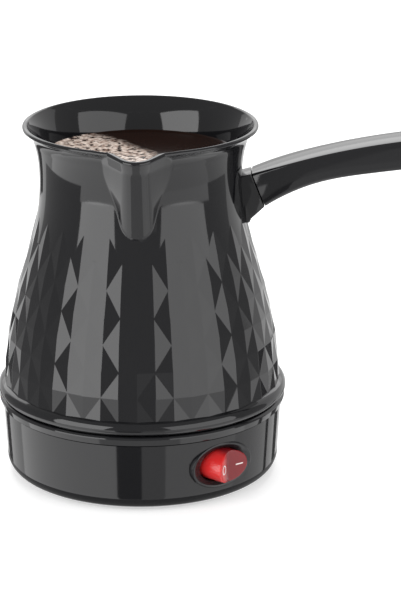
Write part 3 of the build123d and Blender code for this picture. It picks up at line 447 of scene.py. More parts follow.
class ThroughPoints:
    """Smooth curve through points, with its end directions taken from the four nearest points."""

    def __init__(self, points: Sequence[Pair]) -> None:
        """Works out the curve.

        Args:
            points: Places as (across, height) or (along, height).
        """
        self.points = np.array(points, float)
        steps = np.linalg.norm(np.diff(self.points, axis=0), axis=1)
        self.knots = np.concatenate([[0.0], np.cumsum(steps)])
        self.slopes = self._solve()

    def _end_slope(self, order: slice) -> np.ndarray:
        """Returns the direction at the first point of that order."""
        knots, points = self.knots[order][:4], self.points[order][:4]
        return np.polyfit(knots - knots[0], points, 3)[2]

    def _solve(self) -> np.ndarray:
        """Works out the directions that keep the bending even.

        Returns:
            Direction at every point.
        """
        count = len(self.points)
        left, right = np.zeros((count, count)), np.zeros((count, 2))
        left[0, 0] = left[-1, -1] = 1.0
        right[0], right[-1] = self._end_slope(slice(None)), self._end_slope(slice(None, None, -1))
        for i in range(1, count - 1):
            before, after = self.knots[i] - self.knots[i - 1], self.knots[i + 1] - self.knots[i]
            left[i, i - 1 : i + 2] = after, 2 * (before + after), before
            rise = after * (self.points[i] - self.points[i - 1]) / before
            right[i] = 3 * (rise + before * (self.points[i + 1] - self.points[i]) / after)
        return np.linalg.solve(left, right)

    def sample(self) -> np.ndarray:
        """Spreads places evenly along the curve.

        Returns:
            Array of places.
        """
        spots = np.linspace(0, self.knots[-1], CURVE_SAMPLES)
        spans = np.clip(np.searchsorted(self.knots, spots, side="right") - 1, 0, len(self.knots) - 2)
        length = (self.knots[spans + 1] - self.knots[spans])[:, None]
        t = (spots - self.knots[spans])[:, None] / length
        start, end = self.points[spans], self.points[spans + 1]
        leave, arrive = self.slopes[spans] * length, self.slopes[spans + 1] * length
        return ((2 * t**3 - 3 * t**2 + 1) * start + (t**3 - 2 * t**2 + t) * leave
                + (3 * t**2 - 2 * t**3) * end + (t**3 - t**2) * arrive)

    def across_at(self, height: float) -> float:
        """Returns the first coordinate where the curve passes this height."""
        places = self.sample()
        return float(np.interp(height, places[:, 1], places[:, 0]))

    def height_at(self, along: float) -> float:
        """Returns the height where the curve passes this place along it."""
        places = self.sample()
        return float(np.interp(along, places[:, 0], places[:, 1]))


# ---- finishes -----------------------------------------------------------------------------------


@dataclass(frozen=True)
class Finish:
    """Plain finish of one colour, as most small parts have."""

    name: str
    colour: str
    roughness: float = 0.5
    metallic: float = 0.0
    ior: float = 1.5
    transmission: float = 0.0

    def build(self) -> Material:
        """Makes the material.

        Returns:
            The material, with the finish's pattern.
        """
        material = bpy.data.materials.new(self.name)
        material.use_nodes = True
        shader = material.node_tree.nodes["Principled BSDF"]
        feed(shader, {"Base Color": linear(self.colour), "Roughness": self.roughness,
                      "Metallic": self.metallic, "Transmission Weight": self.transmission})
        if not self.metallic:
            feed(shader, {"IOR": self.ior})
        self.add_pattern(material.node_tree, shader)
        return material

    def add_pattern(self, tree: Tree, shader: Node) -> None:
        """Adds what varies over the surface, which is nothing on a plain finish."""


@dataclass(frozen=True)
class MouldedGloss(Finish):
    """Thermoset or ABS from a polished mould: mirror-like, with a faint slow waviness of the skin."""

    wave_size_mm: float = 14.0
    wave_depth_mm: float = 0.02
    wave_finer: float = 0.4

    def add_pattern(self, tree: Tree, shader: Node) -> None:
        """Adds the waviness."""
        waves = add_node(tree, "TexNoise", {"Vector": object_place(tree), "Detail": 1.0,
                                            "Roughness": self.wave_finer,
                                            "Scale": 1 / (self.wave_size_mm * MM)})
        emboss(tree, shader, waves.outputs["Fac"], 1.0, self.wave_depth_mm)


@dataclass(frozen=True)
class RockerRed(Finish):
    """Clear red polycarbonate: glossy skin, light wanders inside and comes back out of its edges; painted
    shade darkens the pressed half.
    """

    scatter_mm: float = 2.5
    scatter_share: float = 0.3
    scatter_colours: Sizes = (1.0, 0.12, 0.08)
    coat: float = 0.1
    coat_roughness: float = 0.05
    # painted shade: darker red for the half pressed into the well, fading in over a few millimetres from the
    # hinge
    pressed_half_shade: str = "#7C1018"
    hinge_mm: Pair = (30.741, -42.312)
    fade_mm: float = 3.0

    def add_pattern(self, tree: Tree, shader: Node) -> None:
        """Scatters the light and paints shade on the half that is pressed into the well.

        Args:
            tree: Node tree of the material.
            shader: Its Principled shader.
        """
        hinge = (self.hinge_mm[0] * MM, self.hinge_mm[1] * MM, 0.0)
        turned = add_node(tree, "Mapping", {"Vector": object_place(tree), "Location": hinge,
                                            "Rotation": (0.0, 0.0, math.radians(SWITCH_TURN))},
                          vector_type="TEXTURE")
        split = add_node(tree, "SeparateXYZ", {"Vector": turned.outputs["Vector"]})
        # painted shade: mixes from the rocker's own red to the darker painted-shade red across the hinge
        share = share_between(tree, split.outputs["X"], -self.fade_mm * MM, 0.0)
        feed(shader, {"Base Color": blend(tree, share, self.colour, self.pressed_half_shade), "Coat Weight": self.coat,
                      "Coat Roughness": self.coat_roughness, "Subsurface Weight": self.scatter_share,
                      "Subsurface Radius": self.scatter_colours, "Subsurface Scale": self.scatter_mm * MM})


@dataclass(frozen=True)
class SpunSteel(Finish):
    """Stainless sheet spun on a lathe: fine rings about the axis, drawn coarser than real."""

    ring_pitch_mm: float = 3.15
    ring_depth_mm: float = 0.02
    ring_strength: float = 0.25
    ring_unevenness: float = 0.6

    def add_pattern(self, tree: Tree, shader: Node) -> None:
        """Adds the rings, which stretch each highlight across them."""
        rings = add_node(tree, "TexWave", {"Vector": object_place(tree), "Detail": 2.0,
                                           "Distortion": self.ring_unevenness,
                                           "Scale": 1 / (self.ring_pitch_mm * MM)},
                         wave_type="RINGS", rings_direction="Z")
        emboss(tree, shader, rings.outputs["Fac"], self.ring_strength, self.ring_depth_mm)


@dataclass(frozen=True)
class StripedInsulation(Finish):
    """Silicone insulation with a second colour that winds along it, as on an earth wire."""

    second: str = "#D9C21E"
    second_from: float = 0.55
    stripe_mm: float = 13.86

    def add_pattern(self, tree: Tree, shader: Node) -> None:
        """Adds the stripes.

        Args:
            tree: Node tree of the material.
            shader: Its Principled shader.
        """
        bands = add_node(tree, "TexWave", {"Vector": object_place(tree), "Scale": 1 / (self.stripe_mm * MM)},
                         bands_direction="DIAGONAL")
        stripes = add_node(tree, "ValToRGB", {"Fac": bands.outputs["Fac"]})
        stripes.color_ramp.interpolation = "CONSTANT"
        first, second = stripes.color_ramp.elements
        first.color, second.color = linear(self.colour), linear(self.second)
        second.position = self.second_from
        feed(shader, {"Base Color": stripes.outputs["Color"]})


@dataclass(frozen=True)
class FreshCoffee(Finish):
    """Black coffee with a patch of pale froth full of dark bubbles; it only dresses the set."""

    froth: str = "#FFF0E4"
    froth_edge: str = "#6E4833"
    bubble_mm: float = 1.8
    hole_mm: float = 2.4
    holes: Pair = (0.41, 0.47)
    edge_turn: float = 39.6
    edge_shift_mm: float = -2.0
    edge_fade_mm: float = 6.0
    wander_mm: float = 14.0
    wander_size_mm: float = 18.0
    froth_depth_mm: float = 0.5
    froth_strength: float = 0.5
    froth_finer: float = 0.65

    def froth_patch(self, tree: Tree, place: Socket) -> Socket:
        """Covers the left and the front, up to a wandering edge.

        Args:
            tree: Node tree of the material.
            place: Socket with the place on the coffee.

        Returns:
            Socket with 1 in the froth and 0 beyond its edge.
        """
        turn = math.radians(self.edge_turn)
        split = add_node(tree, "SeparateXYZ", {"Vector": place}).outputs
        across = maths(tree, "MULTIPLY", split["X"], -math.cos(turn))
        forward = maths(tree, "MULTIPLY_ADD", split["Y"], -math.sin(turn), across)
        inside = maths(tree, "SUBTRACT", forward, self.edge_shift_mm * MM)
        drift = add_node(tree, "TexNoise", {"Vector": place, "Detail": 4.0,
                                            "Scale": 1 / (self.wander_size_mm * MM)})
        wandering = maths(tree, "MULTIPLY_ADD", drift.outputs["Fac"], self.wander_mm * MM, inside)
        return share_between(tree, wandering, 0.0, self.edge_fade_mm * MM)

    def add_pattern(self, tree: Tree, shader: Node) -> None:
        """Adds the froth with its bubbles and holes.

        Args:
            tree: Node tree of the material.
            shader: Its Principled shader.
        """
        place = object_place(tree)
        bubbles = add_node(tree, "TexVoronoi", {"Vector": place, "Scale": 1 / (self.bubble_mm * MM)})
        grain = add_node(tree, "TexNoise", {"Vector": place, "Detail": 5.0,
                                            "Roughness": self.froth_finer,
                                            "Scale": 1 / (self.hole_mm * MM)})
        cover = maths(tree, "MULTIPLY", self.froth_patch(tree, place),
                      share_between(tree, grain.outputs["Fac"], *self.holes))
        tint = blend(tree, bubbles.outputs["Distance"], self.froth, self.froth_edge)
        feed(shader, {"Base Color": blend(tree, cover, self.colour, tint)})
        emboss(tree, shader, cover, self.froth_strength, self.froth_depth_mm)


BLACK_BODY = MouldedGloss("polished_black_thermoset", "#141416", 0.06, ior=1.5)
BLACK_BASE = MouldedGloss("polished_black_abs", "#151517", 0.07, ior=1.5, wave_size_mm=22.0)
BLACK_FITTING = MouldedGloss("semi_gloss_black_nylon", "#1B1B1D", 0.22, wave_depth_mm=0.005)
RED_ROCKER = RockerRed("clear_red_polycarbonate", "#CE2B2B", 0.12, ior=1.45)
WHITE_PRINT = Finish("white_pad_print", "#F2E4E2", 0.45)
COFFEE = FreshCoffee("black_coffee_with_froth", "#1C0D07", 0.12, ior=1.34)

CAD_FINISHES = {
    "stainless": SpunSteel("spun_stainless_sheet", "#C9C8C4", 0.28, 1.0),
    "screw_steel": Finish("zinc_plated_steel", "#BFC1C2", 0.32, 1.0),
    "cast_aluminium": Finish("cast_aluminium", "#BDBEC0", 0.5, 1.0),
    "element_sheath": Finish("drawn_aluminium_tube", "#A9AAAD", 0.4, 1.0),
    "fuse_case": Finish("satin_fuse_case", "#C2C2C4", 0.3, 1.0),
    "contact_brass": Finish("stamped_brass", "#D2B068", 0.3, 1.0),
    "lamp_glass": Finish("lamp_glass", "#FFB090", 0.05, ior=1.5, transmission=0.8),
    "glass_braid": Finish("glass_fibre_braid", "#E6E4DA", 0.9),
    "ceramic": Finish("unglazed_ceramic", "#E2DFD8", 0.7),
    "phenolic": Finish("dark_phenolic", "#3A2C22", 0.45),
    "silicone": Finish("pale_grey_silicone", "#CFCCC6", 0.5),
    "foot_rubber": Finish("matt_black_rubber", "#1E1E1E", 0.8),
    "plunger_white": Finish("white_nylon", "#ECEBE6", 0.45),
    "wire_brown": Finish("brown_silicone_insulation", "#6B3A1E", 0.5),
    "wire_blue": Finish("blue_silicone_insulation", "#1F4FA3", 0.5),
    "wire_white": Finish("white_silicone_insulation", "#E9E7E0", 0.5),
    "wire_green": StripedInsulation("green_yellow_silicone_insulation", "#2F8A3A", 0.5),
    "grip_black": BLACK_BASE,
    "fitting_black": BLACK_FITTING,
    "body_black": BLACK_BODY,
    "base_black": BLACK_BASE,
    "rocker_red": RED_ROCKER,
}


# ---- body ---------------------------------------------------------------------------------------


@dataclass
class PotBody:
    """Moulded body: belly of cut pyramids, smooth neck, lip, spout, foot bead and handle root."""

    # radii and heights, from the foot up
    belly: tuple = ((54.3, 36.6), (53.6, 46.6), (50.4, 66.6), (45.0, 86.6), (40.1, 106.6))
    neck: tuple = ((39.3, 117.0), (39.9, 128.0), (41.2, 133.7))
    facet_columns: int = 24
    facet_rows: int = 6
    facet_bottom: float = 36.6
    facet_pitch: float = 10.0
    pyramid_rise: float = 0.85
    facet_fade: float = 0.1
    facet_edge: float = 0.16
    facet_least_angle: float = 2.5
    belly_skin: float = 1.0
    height: float = 140.5
    lip_radius: float = 45.6
    lip_wall: float = 2.0
    lip_side: Pair = (0.1, 1.3)
    flare_bow: Pair = (-0.75, 0.55)
    # drop below the rim and way outwards, along the rounded edges
    lip_round: tuple = ((0.95, 0.08), (0.7, 0.06), (0.45, -0.05), (0.22, -0.28), (0.07, -0.58), (0.0, -0.9))
    mouth_round: tuple = ((0.0, 0.95), (0.07, 0.6), (0.25, 0.25), (0.42, 0.08))
    mouth_drop: float = 0.6
    wall: float = 2.4
    # inside: heights of the wall's points, then what closes the floor out of sight
    inner_heights: tuple = (48.1, 56.0, 66.6, 76.6, 86.6, 96.6, 106.6)
    inner_neck: float = 118.0
    inner_flare: Pair = (2.0, 131.0)
    inner_fine_to: float = 106.6
    inner_coarse_from: float = 104.0
    floor_round: tuple = ((0.6, 45.9), (2.5, 44.1))
    floor_edge: Pair = (42.0, 39.8)
    ledge_height: float = 38.0
    skin_foot: tuple = ((46.0, 38.0), (50.6, 44.0))
    skin_start: float = 50.0
    skin_gap: float = 1.2
    spout_reach: float = 52.0
    spout_foot: float = 105.3
    spout_fade: float = 7.0
    spout_inner_fade: float = 6.0
    spout_half_width: float = 14.5
    spout_side_depth: float = 39.0
    spout_nose: float = 7.0
    spout_root: float = 8.0
    spout_wall: float = 2.0
    spout_flare_start: float = 134.7
    spout_flare: float = 1.1
    spout_dip: float = 1.7
    spout_turn: float = 30.0
    blend: float = 0.3
    bead_bottom: float = 32.85
    bead_height: float = 4.5
    bead_radius: float = 56.9
    bead_insets: Pair = (1.0, 1.4)
    bead_bulge: float = 1.2
    bead_fullness: float = 0.75
    # inner and outer radius, and lower end
    skirt: Sizes = (50.4, 52.6, 27.05)
    foot_top: Pair = (1.0, 0.7)
    foot_ledge: tuple = ((52.4, 42.0), (46.0, 41.0), (43.0, 39.6), (43.0, 38.0))
    # radius, lower end and upper end of the rods
    post: Sizes = (3.0, 12.0, 38.5)
    boss: Sizes = (3.0, 35.8, 38.5)
    boss_turns: tuple = (45, 135, 225, 315)
    stub_foot: float = 102.1
    stub_belly: Pair = (5.2, 4.9)
    stub_chamfer: float = 0.7
    stub_sink: float = 1.2
    stub_edge: float = 0.45
    stub_least_angle: float = 25.0
    neck_crease: float = 38.0
    foot_crease: float = 32.0

    def __post_init__(self) -> None:
        """Works out the outlines that the other forms share."""
        self.outline = ThroughPoints(self.belly + self.neck)
        side = [(self.radius(z) - self.wall, z) for z in self.inner_heights]
        neck, (flare, flare_height) = self.radius(self.inner_neck) - self.wall, self.inner_flare
        mouth = (self.lip_radius - self.lip_wall, self.height - self.mouth_drop)
        self.cavity = ThroughPoints(side + [(neck, self.inner_neck), (neck + flare, flare_height), mouth])

    def radius(self, height: float) -> float:
        """Returns the smooth outer radius at a height."""
        return self.outline.across_at(height)

    def facet_place(self, row: int, column: int) -> Place:
        """Gives a corner of the cut pattern.

        Args:
            row: Row above the foot.
            column: Half column, counted from the spout.

        Returns:
            Place in millimetres.
        """
        half = math.pi / self.facet_columns
        valley = (row + column) % 2 == 1
        if row > self.facet_rows and not valley:
            left, right = self.facet_place(row, column - 1), self.facet_place(row, column + 1)
            return tuple((a + b) / 2 for a, b in zip(left, right))
        height = self.facet_bottom + self.facet_pitch * row
        radius = self.radius(height)
        if valley and row >= self.facet_rows:
            radius -= self.facet_fade
        if not valley:
            radius = radius * math.cos(half) + self.pyramid_rise
        turn = half * (column % (2 * self.facet_columns)) - QUARTER_TURN
        return radius * math.cos(turn), radius * math.sin(turn), height

    def build_belly(self) -> Piece:
        """Makes the belly: a grid whose quads are split along the valleys, with thin worn edges.

        Returns:
            The belly.
        """
        columns, rows = range(2 * self.facet_columns + 1), range(self.facet_rows + 2)
        piece = wrap_grid("belly", [[self.facet_place(row, column) for column in columns] for row in rows])
        valleys = {tuple(round(v, 3) for v in self.facet_place(row, column))
                   for row in rows for column in columns if (row + column) % 2 == 1}
        edit_mesh(piece, "DESELECT")
        bpy.ops.object.mode_set(mode="OBJECT")
        for vertex in piece.data.vertices:
            vertex.select = tuple(round(v / MM, 3) for v in vertex.co) in valleys
        bpy.ops.object.mode_set(mode="EDIT")
        bpy.ops.mesh.vert_connect()
        bpy.ops.object.mode_set(mode="OBJECT")
        apply_modifier(piece, "SOLIDIFY", thickness=self.belly_skin * MM, offset=-1.0, use_even_offset=True)
        apply_modifier(piece, "BEVEL", width=self.facet_edge * MM, segments=2, limit_method="ANGLE",
                       angle_limit=math.radians(self.facet_least_angle), harden_normals=False)
        shade(piece, Shading.FLAT)
        return piece

    def spout_radius(self, turn: np.ndarray, height: float, grow: float) -> np.ndarray:
        """Gives how far the spout's level section reaches from the axis.

        Args:
            turn: Angles from the spout's middle, in radians.
            height: Height of the section.
            grow: How far the section is grown, or shrunk where negative.

        Returns:
            Radius at each angle, 0 beside the spout.
        """
        low = self.spout_foot - self.spout_fade
        share = (height - low) / (self.height - low)
        root = self.radius(self.spout_foot)
        tall = self.height - self.spout_foot
        front = root + (self.spout_reach - root) * (height - self.spout_foot) / tall
        nose = self.spout_root + (self.spout_nose - self.spout_root) * share
        side = self.spout_root + (self.spout_half_width - self.spout_root) * share
        back = self.spout_side_depth * share + (front - 2 * nose) * (1 - share)
        centre = front - nose
        lean = math.atan2(centre - back, side) - math.acos(min(1.0, nose / math.hypot(side, centre - back)))
        nose, side = nose + grow, side + grow / math.cos(lean)
        touch = np.array([nose * math.cos(lean), centre - nose * math.sin(lean)])
        corner = np.array([side, back])
        turn = np.abs(turn)
        inside = np.maximum(nose**2 - (centre * np.sin(turn)) ** 2, 0)
        round_nose = centre * np.cos(turn) + np.sqrt(inside)
        flank = corner - touch
        across = np.sin(turn) * flank[1] - np.cos(turn) * flank[0]
        across = np.where(np.abs(across) < NEAR_ZERO, NEAR_ZERO, across)
        flat_side = (touch[0] * flank[1] - touch[1] * flank[0]) / across
        beside = np.where(turn <= math.atan2(*corner), flat_side, 0.0)
        return np.where(turn <= math.atan2(*touch), round_nose, beside)

    def blended(self, first: np.ndarray, second: np.ndarray) -> np.ndarray:
        """Returns the larger of two radii, with a small fillet where they meet."""
        gap = first - second
        return 0.5 * (first + second + np.sqrt(gap**2 + self.blend**2)) - 0.5 * self.blend**2 / (
            np.abs(gap) + self.blend)

    def columns(self) -> np.ndarray:
        """Gives the neck's columns, closest together at the spout.

        Returns:
            Their angles from the spout's middle, in radians, between minus and plus a half turn.
        """
        beside = math.radians(self.spout_turn)
        near = np.linspace(-beside, beside, 241)
        wide = np.linspace(beside, FULL_TURN - beside, 151)[1:-1]
        turn = (np.concatenate([near, wide, near[:1] + FULL_TURN]) + FULL_TURN) % FULL_TURN
        return np.where(turn > math.pi, turn - FULL_TURN, turn)

    def outer_radius(self, turn: np.ndarray, height: float, neck: float) -> np.ndarray:
        """Returns the outer radius of neck and spout at a height."""
        flare = max(0.0, (height - self.spout_flare_start) / (self.height - self.spout_flare_start))
        spout = self.spout_radius(turn, height, self.spout_flare * flare)
        return self.blended(np.full_like(turn, neck), spout)

    def inner_radius(self, turn: np.ndarray, height: float) -> np.ndarray:
        """Gives the inner radius of neck and spout.

        Args:
            turn: Angles from the spout's middle, in radians.
            height: Height of the section.

        Returns:
            Radius at each angle.
        """
        room = np.full_like(turn, self.cavity.across_at(height))
        if height < self.spout_foot - self.spout_inner_fade:
            return room
        return self.blended(room, self.spout_radius(turn, height, -self.spout_wall))

    def lip_arc(self) -> list[Pair]:
        """Bends the flare under the lip.

        Returns:
            Its (height, radius) places.
        """
        crease = Vector(self.neck[-1])
        side = Vector((self.lip_radius - self.lip_side[0], self.height - self.lip_side[1]))
        middle = (crease + side) / 2 + Vector(self.flare_bow)
        control = 2 * middle - (crease + side) / 2
        places = []
        for t in np.linspace(0, 1, 10)[1:].tolist():
            spot = (1 - t) ** 2 * crease + 2 * t * (1 - t) * control + t**2 * side
            places.append((spot.y, spot.x))
        return places

    def build_neck(self) -> Piece:
        """Makes neck, lip, spout and the whole inside as one closed skin.

        Returns:
            The skin.
        """
        turn = self.columns()
        start = self.facet_bottom + self.facet_pitch * self.facet_rows
        rings = [(z, self.outer_radius(turn, z, self.radius(z)))
                 for z in np.linspace(start, self.neck[-1][1], 48)]
        rings += [(z, self.outer_radius(turn, z, r)) for z, r in self.lip_arc()]
        edge = rings[-1][1]
        rings += [(self.height - drop, edge + out) for drop, out in self.lip_round]
        mouth = self.inner_radius(turn, self.height - self.mouth_drop)
        rings += [(self.height - drop, mouth + out) for drop, out in self.mouth_round]
        bottom = self.inner_heights[0]
        for high, low, count in ((self.height - self.mouth_drop, self.inner_fine_to, 44),
                                 (self.inner_coarse_from, bottom, 24)):
            rings += [(z, self.inner_radius(turn, z)) for z in np.linspace(high, low, count)]
        corner = self.cavity.across_at(bottom)
        hidden = [(corner - inset, z) for inset, z in self.floor_round]
        hidden += [self.floor_edge, (self.floor_edge[0], self.ledge_height), *self.skin_foot]
        hidden += [(self.radius(z) - self.skin_gap, z) for z in np.linspace(self.skin_start, start - 1, 8)]
        rings += [(z, np.full_like(turn, r)) for r, z in hidden]
        rings.append(rings[0])
        dip_start = math.sqrt(self.lip_radius**2 - self.spout_half_width**2) - 1
        past = np.maximum(edge * np.cos(turn) - dip_start, 0)
        dip = self.spout_dip * (past / (self.spout_reach - dip_start))
        net = []
        for height, radius in rings:
            share = max(0.0, (height - self.spout_foot) / (self.height - self.spout_foot))
            spots = [radius * np.sin(turn), -radius * np.cos(turn), height - dip * share]
            net.append(np.stack(spots, axis=1))
        piece = wrap_grid("neck", net)
        shade(piece, Shading.CREASED, self.neck_crease)
        return piece

    def build_foot(self) -> Piece:
        """Makes the bead, the ledge inside it, the skirt and the screw posts.

        Returns:
            The foot.
        """
        top = self.bead_bottom + self.bead_height
        low = Vector((self.bead_radius - self.bead_insets[0], self.bead_bottom))
        high = Vector((self.bead_radius - self.bead_insets[1], top))
        inner, outer, bottom = self.skirt
        profile = [(inner, bottom), (outer, bottom), (outer, self.bead_bottom)]
        for t in np.linspace(0, 1, 13).tolist():
            spot = low.lerp(high, t)
            bulge = self.bead_bulge * math.sin(math.pi * t) ** self.bead_fullness
            profile.append((spot.x + bulge, spot.y))
        profile.append((self.belly[0][0] - self.foot_top[0], top + self.foot_top[1]))
        profile += [*self.foot_ledge, (inner, self.ledge_height)]
        pieces = [spin_profile("foot", profile, 192)]
        for name, rod, turns in (("post", self.post, SCREW_TURNS), ("boss", self.boss, self.boss_turns)):
            pieces += [upright_rod(name, *rod, SCREW_CIRCLE, turn, THIN_ROD_CORNERS) for turn in turns]
        focus(*pieces)
        bpy.ops.object.join()
        piece = new_piece("foot")
        shade(piece, Shading.CREASED, self.foot_crease)
        return piece

    def build_handle_root(self) -> Piece:
        """Makes the block on the neck that carries the grip.

        Returns:
            The block.
        """
        (high_x, high), (low_x, low) = SEAM_TOP, SEAM_BOTTOM
        belly_x, belly = low_x - self.stub_belly[0], low - self.stub_belly[1]
        outline = [SEAM_TOP, SEAM_BOTTOM, (belly_x, belly), (belly_x - self.stub_chamfer, self.stub_foot),
                   (self.radius(self.stub_foot) - self.stub_sink, self.stub_foot),
                   (self.radius(high) - self.stub_sink, high - self.stub_sink)]
        piece = slab("handle_root", outline, SEAM_HALF_WIDTH)
        apply_modifier(piece, "BEVEL", width=self.stub_edge * MM, segments=3, limit_method="ANGLE",
                       angle_limit=math.radians(self.stub_least_angle))
        shade(piece, Shading.CREASED)
        return piece

    def build(self, gloss: Material) -> None:
        """Builds and dresses the whole body.

        Args:
            gloss: Its finish.
        """
        dress(self.build_neck(), gloss, "body_black", "pot_body")
        for piece in (self.build_belly(), self.build_foot(), self.build_handle_root()):
            dress(piece, gloss, "body_black")


# ---- base ---------------------------------------------------------------------------------------


def switch_place(across: float, depth: float, up: float) -> Place:
    """Returns a place so far right of the switch's middle, out from the pot's axis and up."""
    c, s = math.cos(math.radians(SWITCH_TURN)), math.sin(math.radians(SWITCH_TURN))
    return across * c + depth * s, across * s - depth * c, SWITCH_HEIGHT + up


def oval_stack(name: str, rings: Sequence[Sizes]) -> Piece:
    """Stacks ovals outwards from the pot's axis into one skin, at the switch's place.

    Args:
        name: Name of the piece.
        rings: (half width, half height, depth) of each oval.

    Returns:
        The skin, with its ends closed.
    """
    turns = np.linspace(0, FULL_TURN, OVAL_CORNERS + 1)
    net = [[switch_place(a * math.cos(t), depth, b * math.sin(t)) for t in turns] for a, b, depth in rings]
    piece = wrap_grid(name, net)
    close_ends(piece)
    return piece


@dataclass
class Base:
    """Cup-shaped base with seats for the switch and the inlet, screw wells and foot recesses."""

    foot: float = 1.0
    foot_radius: float = 53.8
    side_radius: float = 55.0
    top_radius: float = 56.5
    top: float = 32.15
    corner: float = 6.0
    floor: float = 2.4
    rim_wall: float = 3.7
    # inset and drop of the rim's edge
    rim_round: tuple = ((0.0, 1.1), (0.08, 0.7), (0.3, 0.4), (0.9, 0.0))
    inner_radius: float = 51.6
    inner_slope: float = 0.3
    ledge: float = 27.05
    line_drop: float = 3.8
    # way outwards and upwards, along the line under the rim
    line_steps: tuple = ((0.0, -0.35), (-0.35, -0.1), (-0.35, 0.1), (0.7, 0.25))
    inlet_height: float = 16.0
    # width, height, and near and far end of the seats, the switch's as half sizes
    inlet_pad: tuple = (31.4, 21.8, 48.9, 52.6)
    inlet_seats: tuple = ((31.2, 21.6, 52.6, 60.0), (27.0, 19.0, 40.0, 56.0))
    switch_seats: tuple = ((13.9, 9.1, 52.7, 60.0), (11.3, 8.0, 40.0, 56.0))
    # radius, lower end and upper end of what is cut or added round screws and feet
    screw_well: Sizes = (4.2, 3.2, 12.0)
    screw_bore: Sizes = (3.15, 0.0, 9.8)
    screw_hole: Sizes = (1.75, 0.0, 13.0)
    foot_recess: Sizes = (5.1, 0.0, 1.8)
    foot_circle: float = 38.0
    foot_turns: tuple = (60, 180, 300)
    crease: float = 24.0

    def bend(self, radius: float, bottom: float, size: float, turns: np.ndarray) -> list[Pair]:
        """Returns a rounded corner of the cup, as (radius, height)."""
        return [(radius - size * (1 - math.sin(t)), bottom + size * (1 - math.cos(t))) for t in turns]

    def profile(self) -> list[Pair]:
        """Draws the cup's outline.

        Returns:
            Its corners as (radius, height).
        """
        line, inside = self.top - self.line_drop, self.foot + self.floor
        rim = self.top_radius - self.rim_wall
        return [(0.0, self.foot),
                *self.bend(self.foot_radius, self.foot, self.corner, np.linspace(0, QUARTER_TURN, 14)),
                *[(self.side_radius + out, line + up) for out, up in self.line_steps],
                *[(self.top_radius - inset, self.top - drop) for inset, drop in self.rim_round],
                (rim, self.top), (rim, self.ledge), (self.inner_radius, self.ledge),
                *self.bend(self.inner_radius - self.inner_slope, inside, self.corner - self.floor,
                           np.linspace(QUARTER_TURN, 0, 8)),
                (0.0, inside)]

    def oval_plug(self, wide: float, high: float, near: float, far: float) -> Piece:
        """Returns an oval plug for the switch's seat."""
        return oval_stack("plug", [(wide, high, near), (wide, high, far)])

    def box_plug(self, wide: float, high: float, near: float, far: float) -> Piece:
        """Makes a box at the inlet's seat.

        Args:
            wide: Its width.
            high: Its height.
            near: Where it starts, from the pot's axis.
            far: Where it ends.

        Returns:
            The box.
        """
        clear_selection()
        bpy.ops.mesh.primitive_cube_add(size=1.0)
        plug = new_piece("plug")
        plug.scale = (wide * MM, (far - near) * MM, high * MM)
        plug.location = (0, (near + far) / 2 * MM, self.inlet_height * MM)
        bpy.ops.object.transform_apply(location=True, rotation=True, scale=True)
        return plug

    def build(self, gloss: Material) -> None:
        """Builds and dresses the base.

        Args:
            gloss: Its finish.
        """
        piece = spin_profile("base", self.profile(), 240)
        combine(piece, Joining.FUSE, self.box_plug(*self.inlet_pad))
        combine(piece, Joining.CUT, *[self.box_plug(*seat) for seat in self.inlet_seats],
                *[self.oval_plug(*seat) for seat in self.switch_seats])
        for turn in SCREW_TURNS:
            combine(piece, Joining.FUSE, upright_rod("well", *self.screw_well, SCREW_CIRCLE, turn))
            combine(piece, Joining.CUT, upright_rod("bore", *self.screw_bore, SCREW_CIRCLE, turn),
                    upright_rod("hole", *self.screw_hole, SCREW_CIRCLE, turn, THIN_ROD_CORNERS))
        for turn in self.foot_turns:
            combine(piece, Joining.CUT, upright_rod("recess", *self.foot_recess, self.foot_circle, turn))
        shade(piece, Shading.CREASED, self.crease)
        dress(piece, gloss, "base_black", "base_shell")


# ---- switch -------------------------------------------------------------------------------------


